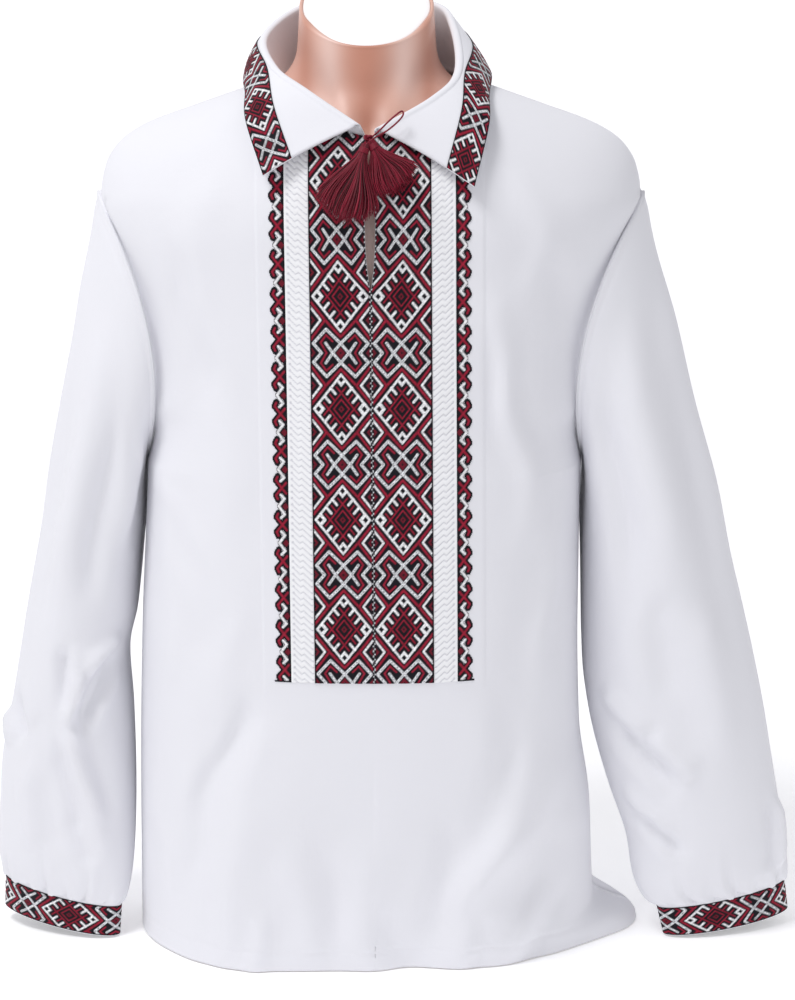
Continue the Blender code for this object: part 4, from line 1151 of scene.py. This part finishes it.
def build_collar(cotton_look, stitched, stitch, threads):
    """Collar in doubled cotton and the stitched tape along the outer edge of its leaf."""
    surface = collar_surface()
    collar = sheet_piece("collar_cloth", surface, [cotton_look], 0.0017)

    roll, edge = collar_lines(360)[1:]
    out = collar_out(roll, edge)
    length = np.linalg.norm(edge - roll, axis=1, keepdims=True)
    widths = np.linspace(COLLAR_BAND_WIDTH, 0, 48)
    rows = np.stack([leaf_curve(roll, edge, out, 1 - width / length) for width in widths])
    middle = rows[len(rows) // 2]
    run = np.concatenate(([0.0], np.cumsum(np.linalg.norm(np.diff(middle, axis=0), axis=1))))
    run -= run[len(run) // 2]
    along = np.where(run < 0, run + 0.0125, run + 0.0205) / TAPE_STITCH_ALONG
    across = (widths - COLLAR_BAND_WIDTH / 2) / TAPE_STITCH_ACROSS
    v, u = np.meshgrid(along, across)
    state = stitch_repeat(u.ravel(), v.ravel(), threads)
    reach = COLLAR_BAND_WIDTH / 2 / TAPE_STITCH_ACROSS
    edge_cover = np.clip(np.abs(u.ravel()) - reach + 1.7, 0, 1)
    lay_thread(state, threads["black"], edge_cover, np.full(len(edge_cover), 0.6))
    uv = np.stack(np.meshgrid(run, widths), axis=-1).reshape(-1, 2)
    band = stitched_piece("collar_tape", rows, state, stitched, 0.0014, stitch.relief, uv)
    return collar, band


# ---------------------------------------------------------------- dress form
def form_surface(rows=130, around=150):
    """Level superellipse rings of the form, then the neck up to its slanted cut."""
    heights = np.concatenate((np.linspace(0, 0.70, 80, endpoint=False),
                              np.linspace(0.70, 0.788, rows - 80)))
    half, front, back = (smooth(heights, FORM_SECTIONS, k) for k in (1, 2, 3))
    square = smooth(heights, FORM_SECTIONS, 4) / MM
    turn = np.linspace(0, 2 * math.pi, around, endpoint=False)
    cosine, sine = np.cos(turn)[None, :], np.sin(turn)[None, :]
    power = (2 / square)[:, None]
    x = half[:, None] * np.sign(cosine) * np.abs(cosine) ** power
    depth = np.where(sine < 0, front[:, None], back[:, None])
    y = depth * np.sign(sine) * np.abs(sine) ** power
    body = np.stack((x, y, np.repeat(heights[:, None], around, axis=1)), axis=-1)
    top = np.stack((NECK_RADIUS * np.cos(turn), NECK_RADIUS * 0.97 * np.sin(turn),
                    np.zeros(around)), axis=-1)
    top[:, 2] = NECK_TOP_HEIGHT + NECK_TOP_SLOPE * top[:, 1]
    share = np.linspace(0, 1, 34)[1:, None, None]
    neck = body[-1][None] * (1 - share) + top[None] * share
    body = np.concatenate((body, neck))
    for _ in range(40):
        body[85:-1] += 0.25 * (body[84:-2] - 2 * body[85:-1] + body[86:])
    # behind the slit the chest stands nearer to the cloth
    near = np.exp(-(body[..., 0] / 0.040) ** 2) * ease((body[..., 2] - 0.54) / 0.05)
    near = near * ease((0.735 - body[..., 2]) / 0.05) * (body[..., 1] < 0)
    body[..., 1] -= 0.006 * near
    middle = top.mean(axis=0)
    rim = [middle + (top - middle) * size + CUT_NORMAL * height for size, height in (
        (0.994, 0.0011), (0.98, 0.0019), (0.962, 0.0019), (0.95, 0.0010), (0.945, -0.0006))]
    whole = np.concatenate((body, np.stack(rim)))
    whole[..., 0] -= 0.0033 * ease((whole[..., 2] - 0.725) / 0.055)
    return whole


def neck_relief(points):
    """Anatomy of the form's neck in metres: two cords that meet at the notch, and its hollow."""
    x, y, z = points[..., 0], points[..., 1], points[..., 2]
    front = ease(-y / 0.03)
    total = np.zeros(x.shape)
    for side in (-1, 1):
        away = distance_to_run(x * side, z, 0.050, 0.815, 0.011, 0.728)
        total += 0.0020 * np.exp(-(away / 0.010) ** 2)
        bone = distance_to_run(x * side, z, 0.018, 0.722, 0.120, 0.738)
        total += 0.0016 * np.exp(-(bone / 0.008) ** 2)
    total -= 0.0042 * np.exp(-(np.hypot(x, (z - 0.734) * 0.8) / 0.011) ** 2)
    total += 0.0012 * np.exp(-(np.hypot(x, (z - 0.776)) / 0.013) ** 2)
    return total * front


def build_form(form, look, cap_look):
    """The form, closed at its base, and the white cap on the cut of its neck."""
    points = form_surface()
    rows, around = points.shape[:2]
    normals = grid_normals(points, wrap=True)
    relief = neck_relief(points)
    points = points + normals * relief[..., None]
    base = points[0] * (0, 0, 1)
    closed = np.concatenate((base[None], points))
    x, z = points[..., 0] + 0.003, points[..., 2]
    front = ease(-points[..., 1] / 0.03)
    # painted shade: a darker V from under the cap down to the notch, and darker bands along the
    # neck's sides
    wedge = 0.010 + 0.30 * np.clip(z - 0.735, 0, 0.05)
    shaded = 0.75 * np.exp(-(x / wedge) ** 2) * ease((z - 0.715) / 0.02)
    shaded += 0.55 * np.exp(-((np.abs(x) - 0.052) / 0.008) ** 2) * ease((z - 0.74) / 0.02)
    shaded = np.clip(shaded, 0, 1)[..., None] * front[..., None]
    # painted highlight: paler paint on the neck's cords either side of its middle
    lit = np.exp(-((np.abs(x) - 0.031) / 0.010) ** 2) * ease((z - 0.745) / 0.03)
    lit = 0.45 * lit[..., None] * front[..., None]
    paint = linear(form.colour) * (1 - shaded) + linear(form.shade) * shaded
    # painted light: the chest behind the slit is painted paler where it lies in the slit's shade
    slit = np.exp(-(x / 0.03) ** 2) * ease((z - 0.56) / 0.03) * ease((0.722 - z) / 0.02)
    lit = np.maximum(lit, (slit * front)[..., None])
    paint = paint * (1 - lit) + linear(form.sheen) * lit
    paint = np.concatenate((paint[:1], paint)).reshape(-1, 3)
    made = make_piece("form_body", closed, grid_quads(rows + 1, around, True), [look],
                      colours=paint)
    top = points[-1]
    middle = top.mean(axis=0)
    rings = [middle + (top - middle) * size + CUT_NORMAL * height for size, height in (
        (1.0, 0.0), (0.998, 0.0012), (0.98, 0.0017), (0.9, 0.0020), (0.5, 0.0024),
        (0.0, 0.0024))]
    cap = make_piece("form_cap", np.stack(rings), grid_quads(len(rings), around, True),
                     [cap_look])
    return made, cap


# ---------------------------------------------------------------- tie
def tube_mesh(paths, radii, sides):
    """Tubes round many paths at once: strands by steps by 3 places, with a ring at each step."""
    strands, steps = paths.shape[:2]
    along = np.gradient(paths, axis=1)
    along /= np.linalg.norm(along, axis=2, keepdims=True)
    first = np.cross(along, np.array((0.31, 0.87, 0.38)))
    first /= np.linalg.norm(first, axis=2, keepdims=True)
    second = np.cross(along, first)
    turn = np.linspace(0, 2 * math.pi, sides, endpoint=False)
    ring = (np.cos(turn)[:, None] * first[:, :, None] + np.sin(turn)[:, None] * second[:, :, None])
    points = paths[:, :, None] + ring * radii[:, :, None, None]
    one = grid_quads(steps, sides, True)
    faces = (one[None] + (np.arange(strands) * steps * sides)[:, None, None]).reshape(-1, 4)
    return points.reshape(-1, 3), faces


def tassel_paths(top, bottom, spread, flat, strands, rng, steps=9):
    """Strands of a tassel: out of the bound head, fanned and ending on a rounded hem."""
    top, bottom = np.array(top) * MM, np.array(bottom) * MM
    axis = bottom - top
    length = np.linalg.norm(axis)
    axis /= length
    across = np.cross(axis, (0, 1, 0))
    across /= np.linalg.norm(across)
    deep = np.cross(axis, across)
    angle = rng.uniform(0, 2 * math.pi, strands)
    radius = np.sqrt(rng.uniform(0.0, 1, strands))
    a, b = radius * np.cos(angle), radius * np.sin(angle)
    reach = length * (1.0 - 0.20 * a**2 - 0.09 * rng.uniform(0, 1, strands))
    t = np.linspace(0, 1, steps)[None, :]
    fan = 0.0034 + (spread * MM - 0.0034) * ease(t * 1.10 - 0.16) ** 0.80
    loose = rng.uniform(-1, 1, strands)[:, None]
    wave = 0.0011 * np.sin(t * 7 + angle[:, None] * 3) * t + 0.0022 * loose * t**2
    sag = 0.0030 * np.sin(t * math.pi) * (1 - radius[:, None])
    paths = (top + axis * (reach[:, None] * t)[..., None]
             + across * (a[:, None] * fan + wave)[..., None]
             + deep * (b[:, None] * fan * (flat + (1 - flat) * (1 - ease(t * 2))) - sag)[..., None])
    return paths


def build_tassel(row, tie, look, seed):
    """A tassel of loose strands with a bound head."""
    name, top, bottom, spread, flat, strands = row
    rng = np.random.default_rng(seed)
    paths = tassel_paths(top, bottom, spread, flat, strands, rng)
    steps = paths.shape[1]
    radii = tie.thread_radius * rng.uniform(0.75, 1.15, strands)[:, None] * np.linspace(
        1.0, 0.9, steps)[None, :]
    radii[:, -1] *= 0.25
    points, faces = tube_mesh(paths, radii, 4)
    start = np.array(top) * MM
    axis = (np.array(bottom) * MM - start)
    axis /= np.linalg.norm(axis)
    turns = np.linspace(0, 1, 90)
    side = np.cross(axis, (0, 1, 0))
    side /= np.linalg.norm(side)
    deep = np.cross(axis, side)
    angle = turns * 2 * math.pi * 5
    binding = (start + axis * (0.0035 + 0.0042 * turns)[:, None]
               + side * (0.0039 * np.cos(angle))[:, None] + deep * (0.0036 * np.sin(angle))[:, None])
    wrap_points, wrap_faces = tube_mesh(binding[None], np.full((1, 90), 0.0006), 6)
    # painted shade: each strand is mixed at random between the tie colour and its painted shade,
    # darker towards the bound head
    share = rng.uniform(0.0, 1.0, strands)[:, None] ** 0.8 * np.linspace(0.6, 1.0, steps)
    share = np.concatenate((np.repeat(share.ravel(), 4), np.full(len(wrap_points), 0.5)))[:, None]
    paint = linear(tie.painted_shade) * (1 - share) + linear(tie.colour) * share
    faces = np.concatenate((faces, wrap_faces + len(points)))
    points = np.concatenate((points, wrap_points))
    return make_piece(name, points, faces, [look], colours=paint)


def build_knot(look):
    """A small overhand knot: a trefoil tube."""
    t = np.linspace(0, 2 * math.pi, 97)
    ring = np.stack((np.sin(t) + 2 * np.sin(2 * t), np.sin(3 * t) * 0.8,
                     np.cos(t) - 2 * np.cos(2 * t)), axis=-1) * 0.00105
    points, faces = tube_mesh((ring + np.array(KNOT_CENTRE))[None], np.full((1, 97), 0.0011), 8)
    return make_piece("tie_knot_wrap", points, faces, [look])


def build_cord(look):
    """The cord's free loop as a smooth curve through its route."""
    at = np.linspace(0, len(CORD_ROUTE) - 1, 60)
    places = np.stack([catmull(at, column) for column in np.array(CORD_ROUTE).T * MM], axis=-1)
    curve = bpy.data.curves.new("tie_loop", "CURVE")
    curve.dimensions = "3D"
    curve.bevel_depth = CORD_DIAMETER / 2
    curve.bevel_resolution = 3
    curve.use_fill_caps = True
    spline = curve.splines.new("POLY")
    spline.points.add(len(places) - 1)
    spline.points.foreach_set("co", np.concatenate((places, np.ones((60, 1))), axis=1).ravel())
    curve.materials.append(look)
    cord = bpy.data.objects.new("tie_loop", curve)
    bpy.context.scene.collection.objects.link(cord)
    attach(cord, "root")
    length = float(np.linalg.norm(np.diff(places, axis=0), axis=1).sum())
    return cord, places[0], length


# ---------------------------------------------------------------- operators
class MakeMaterials(bpy.types.Operator):
    """Make the cloth, thread, floss and plastic"""
    bl_idname = "vyshyvanka.materials"
    bl_label = "Materials"

    def execute(self, context):
        scene = context.scene
        cotton, stitch = scene.shirt_cotton, scene.shirt_stitch
        woven_cotton("shirting cotton", cotton.colour, cotton.thread_spacing)
        lace = woven_cotton("insertion lace", cotton.lace_colour, 0.0008, slub=0.1)
        paint = add_node(lace.node_tree, "ShaderNodeVertexColor", {"layer_name": "thread"})
        shader = lace.node_tree.nodes["Principled BSDF"]
        lace.node_tree.links.new(paint.outputs["Color"], shader.inputs["Base Color"])
        stitched_thread("cross-stitched cotton", stitch.black)
        tie = scene.shirt_tie
        spun_floss("burgundy cord floss", tie.colour, tie.painted_shade, combed=False)
        spun_floss("burgundy tassel floss", tie.colour, tie.painted_shade, combed=True)
        painted_plastic("painted form plastic", scene.shirt_form.colour)
        # injection-moulded white cap: slightly glossy, plain
        new_material("white cap plastic", scene.shirt_form.cap, Roughness=0.45, IOR=1.46)
        return {"FINISHED"}


class MakeForm(bpy.types.Operator):
    """Model the limbless dress form and its neck cap"""
    bl_idname = "vyshyvanka.form"
    bl_label = "Dress form"

    def execute(self, context):
        form, cap = build_form(context.scene.shirt_form, named("painted form plastic"),
                               named("white cap plastic"))
        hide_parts("dress_form")
        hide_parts("neck_cap")
        return {"FINISHED"}


class MakeBody(bpy.types.Operator):
    """Drape the front and back"""
    bl_idname = "vyshyvanka.body"
    bl_label = "Front and back"

    def execute(self, context):
        cotton = context.scene.shirt_cotton
        look = named("shirting cotton")
        left, right = (body_half(side, front_y, NECK_FRONT_HEIGHT, FRONT_ARMHOLE_BOW)
                       for side in (-1, 1))
        rows, columns = left.shape[:2]
        whole = body_seams(np.concatenate((left[:, ::-1], right), axis=1), 3)
        points = np.concatenate((whole[:, :columns].reshape(-1, 3),
                                 whole[:, columns:].reshape(-1, 3)))
        one = grid_quads(rows, columns)
        bridge_rows = np.nonzero(slit_half(left[:, 0, 2]) == 0)[0]
        low = bridge_rows[:-1]
        bridge = np.stack((low * columns + columns - 1, rows * columns + low * columns,
                           rows * columns + (low + 1) * columns,
                           (low + 1) * columns + columns - 1), axis=-1)
        faces = np.concatenate((one, one + rows * columns, bridge))
        uv = np.concatenate((cloth_uv(left[:, ::-1]), cloth_uv(right) + (0.30, 0.0)))
        front = add_wall(make_piece("front_cloth", points, faces, [look], uv), cotton.wall)

        left, right = (body_half(side, back_y, NECK_BACK_HEIGHT, BACK_ARMHOLE_BOW)
                       for side in (-1, 1))
        whole = np.concatenate((left[:, :0:-1], right), axis=1)[:, ::-1]
        back = sheet_piece("back_cloth", body_seams(whole, 3), [look], cotton.wall)
        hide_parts("front")
        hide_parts("back")
        return {"FINISHED"}


class MakePanel(bpy.types.Operator):
    """Work the embroidered strips, the edging and the lace on the front"""
    bl_idname = "vyshyvanka.panel"
    bl_label = "Front panel"

    def execute(self, context):
        stitch = context.scene.shirt_stitch
        threads = thread_colours(stitch)
        stitched, lace = named("cross-stitched cotton"), named("insertion lace")
        for side, word in ((-1, "left"), (1, "right")):
            strip = build_strip(side, stitch, threads, stitched)
            edging = build_edging(side, stitch, threads, stitched)
            insertion = build_lace(side, lace)
            for piece, node, slot in ((strip, "panel", "embroidery"),
                                      (edging, "edging", "embroidery"),
                                      (insertion, "lace", "lace")):
                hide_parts(f"{node}_{word}")
        return {"FINISHED"}


class MakeSleeves(bpy.types.Operator):
    """Hang the sleeves and set them into their cuffs"""
    bl_idname = "vyshyvanka.sleeves"
    bl_label = "Sleeves and cuffs"

    def execute(self, context):
        scene = context.scene
        cotton, stitch = scene.shirt_cotton, scene.shirt_stitch
        look, stitched = named("shirting cotton"), named("cross-stitched cotton")
        threads = thread_colours(stitch)
        for word, table, folds, cuff, phase, flat, area, cuff_flat in (
                ("left", LEFT_SLEEVE, LEFT_SLEEVE_FOLDS, LEFT_CUFF, 6.0, (0.625, 0.600), 0.205,
                 (0.262, 0.030)),
                ("right", RIGHT_SLEEVE, RIGHT_SLEEVE_FOLDS, RIGHT_CUFF, 8.0, (0.650, 0.620),
                 0.238, (0.274, 0.030))):
            sleeve = build_sleeve(f"sleeve_{word}_cloth", table, folds, look, cotton.wall)
            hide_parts(f"sleeve_{word}")
            band, lining = build_cuff(f"cuff_{word}_band", cuff, phase, stitch, threads,
                                      (stitched, look))
            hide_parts(f"cuff_{word}")
        return {"FINISHED"}


class MakeCollar(bpy.types.Operator):
    """Turn the collar over and tape its leaf"""
    bl_idname = "vyshyvanka.collar"
    bl_label = "Collar"

    def execute(self, context):
        stitch = context.scene.shirt_stitch
        collar, band = build_collar(named("shirting cotton"), named("cross-stitched cotton"),
                                    stitch, thread_colours(stitch))
        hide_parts("collar")
        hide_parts("collar_band")
        return {"FINISHED"}


class MakeTie(bpy.types.Operator):
    """Knot the tie, loop its cord and comb out the tassels"""
    bl_idname = "vyshyvanka.tie"
    bl_label = "Tie and tassels"

    def execute(self, context):
        tie = context.scene.shirt_tie
        floss = named("burgundy cord floss")
        for seed, row in enumerate(TASSELS):
            made = build_tassel((f"{row[0]}_strands", *row[1:]), tie,
                                named("burgundy tassel floss"), seed + 5)
            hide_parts(row[0])
        knot = build_knot(floss)
        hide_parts("tie_knot")
        cord, start, length = build_cord(floss)
        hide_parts("tie_cord")
        return {"FINISHED"}


class MakeStage(bpy.types.Operator):
    """Set the floor, the soft studio light and the camera"""
    bl_idname = "vyshyvanka.stage"
    bl_label = "Stage"

    def execute(self, context):
        scene = context.scene
        stage = scene.shirt_stage
        t = np.linspace(0, 1, 60)
        depth = np.interp(t, (0, 0.42, 1), (-3.0, 1.6, 3.2))
        height = 2.6 * ease((t - 0.42) / 0.58) ** 1.6
        x, _ = np.meshgrid(np.linspace(-4, 4, 3), t)
        points = np.stack((x, np.repeat(depth[:, None], 3, 1), np.repeat(height[:, None], 3, 1)),
                          axis=-1)
        mesh = bpy.data.meshes.new("paper_floor")
        mesh.from_pydata(points.reshape(-1, 3).tolist(), [], grid_quads(60, 3).tolist())
        mesh.shade_smooth()
        # paper lit through from behind, so that it stays white around the cloth
        paper, _, _ = new_material("matt paper", stage.floor, Roughness=0.95,
                                   Specular_IOR_Level=0.1, Emission_Strength=0.26,
                                   Emission_Color=(1.0, 1.0, 1.0, 1.0))
        mesh.materials.append(paper)
        floor = bpy.data.objects.new("paper_floor", mesh)
        scene.collection.objects.link(floor)

        world = bpy.data.worlds.new("room light")
        world.use_nodes = True
        sky = world.node_tree.nodes["Background"]
        sky.inputs["Color"].default_value = (0.965, 0.965, 1.0, 1.0)
        sky.inputs["Strength"].default_value = stage.sky
        scene.world = world
        for name, power, size, place in (
                ("key", stage.key_power, 0.9, (-1.1, -0.9, 3.0)),
                ("fill", stage.fill_power, 1.6, (1.6, -2.4, 1.3))):
            lamp = bpy.data.lights.new(name, "AREA")
            lamp.energy = power
            lamp.size = size
            light = bpy.data.objects.new(name, lamp)
            light.location = place
            aim = np.array((0.0, 0.0, 0.42)) - np.array(place)
            level = math.hypot(aim[0], aim[1])
            light.rotation_euler = (math.atan2(level, -aim[2]), 0,
                                    math.atan2(aim[1], aim[0]) - math.pi / 2)
            scene.collection.objects.link(light)

        # white cloth has to stay white, so light is shown as it falls
        scene.view_settings.view_transform = "Standard"
        lens = bpy.data.cameras.new("camera")
        lens.lens = 84.67
        lens.sensor_width = 36
        camera = bpy.data.objects.new("camera", lens)
        camera.location = (0.023, -2.05, 0.885)
        camera.rotation_euler = (math.radians(90 - 13.4), 0, 0)
        scene.collection.objects.link(camera)
        scene.camera = camera
        return {"FINISHED"}


STEPS = (MakeMaterials, MakeForm, MakeBody, MakePanel, MakeSleeves, MakeCollar, MakeTie,
         MakeStage)


class VyshyvankaPanel(bpy.types.Panel):
    """Sizes, colours and steps of the shirt"""
    bl_idname = "VIEW3D_PT_vyshyvanka"
    bl_label = "Vyshyvanka"
    bl_space_type = "VIEW_3D"
    bl_region_type = "UI"
    bl_category = "Vyshyvanka"

    def draw(self, context):
        for name, group in GROUPS:
            box = self.layout.box()
            for key in group.__annotations__:
                box.prop(getattr(context.scene, name), key)
        for step in STEPS:
            self.layout.operator(step.bl_idname)


def register():
    for _, group in GROUPS:
        bpy.utils.register_class(group)
    for step in (*STEPS, VyshyvankaPanel):
        bpy.utils.register_class(step)
    for name, group in GROUPS:
        setattr(bpy.types.Scene, name, bpy.props.PointerProperty(type=group))


def unregister():
    for name, _ in GROUPS:
        delattr(bpy.types.Scene, name)
    for step in (VyshyvankaPanel, *reversed(STEPS)):
        bpy.utils.unregister_class(step)
    for _, group in reversed(GROUPS):
        bpy.utils.unregister_class(group)


def main():
    register()
    for step in STEPS:
        area, name = step.bl_idname.split(".")
        getattr(getattr(bpy.ops, area), name)()


if __name__ == "__main__":
    main()
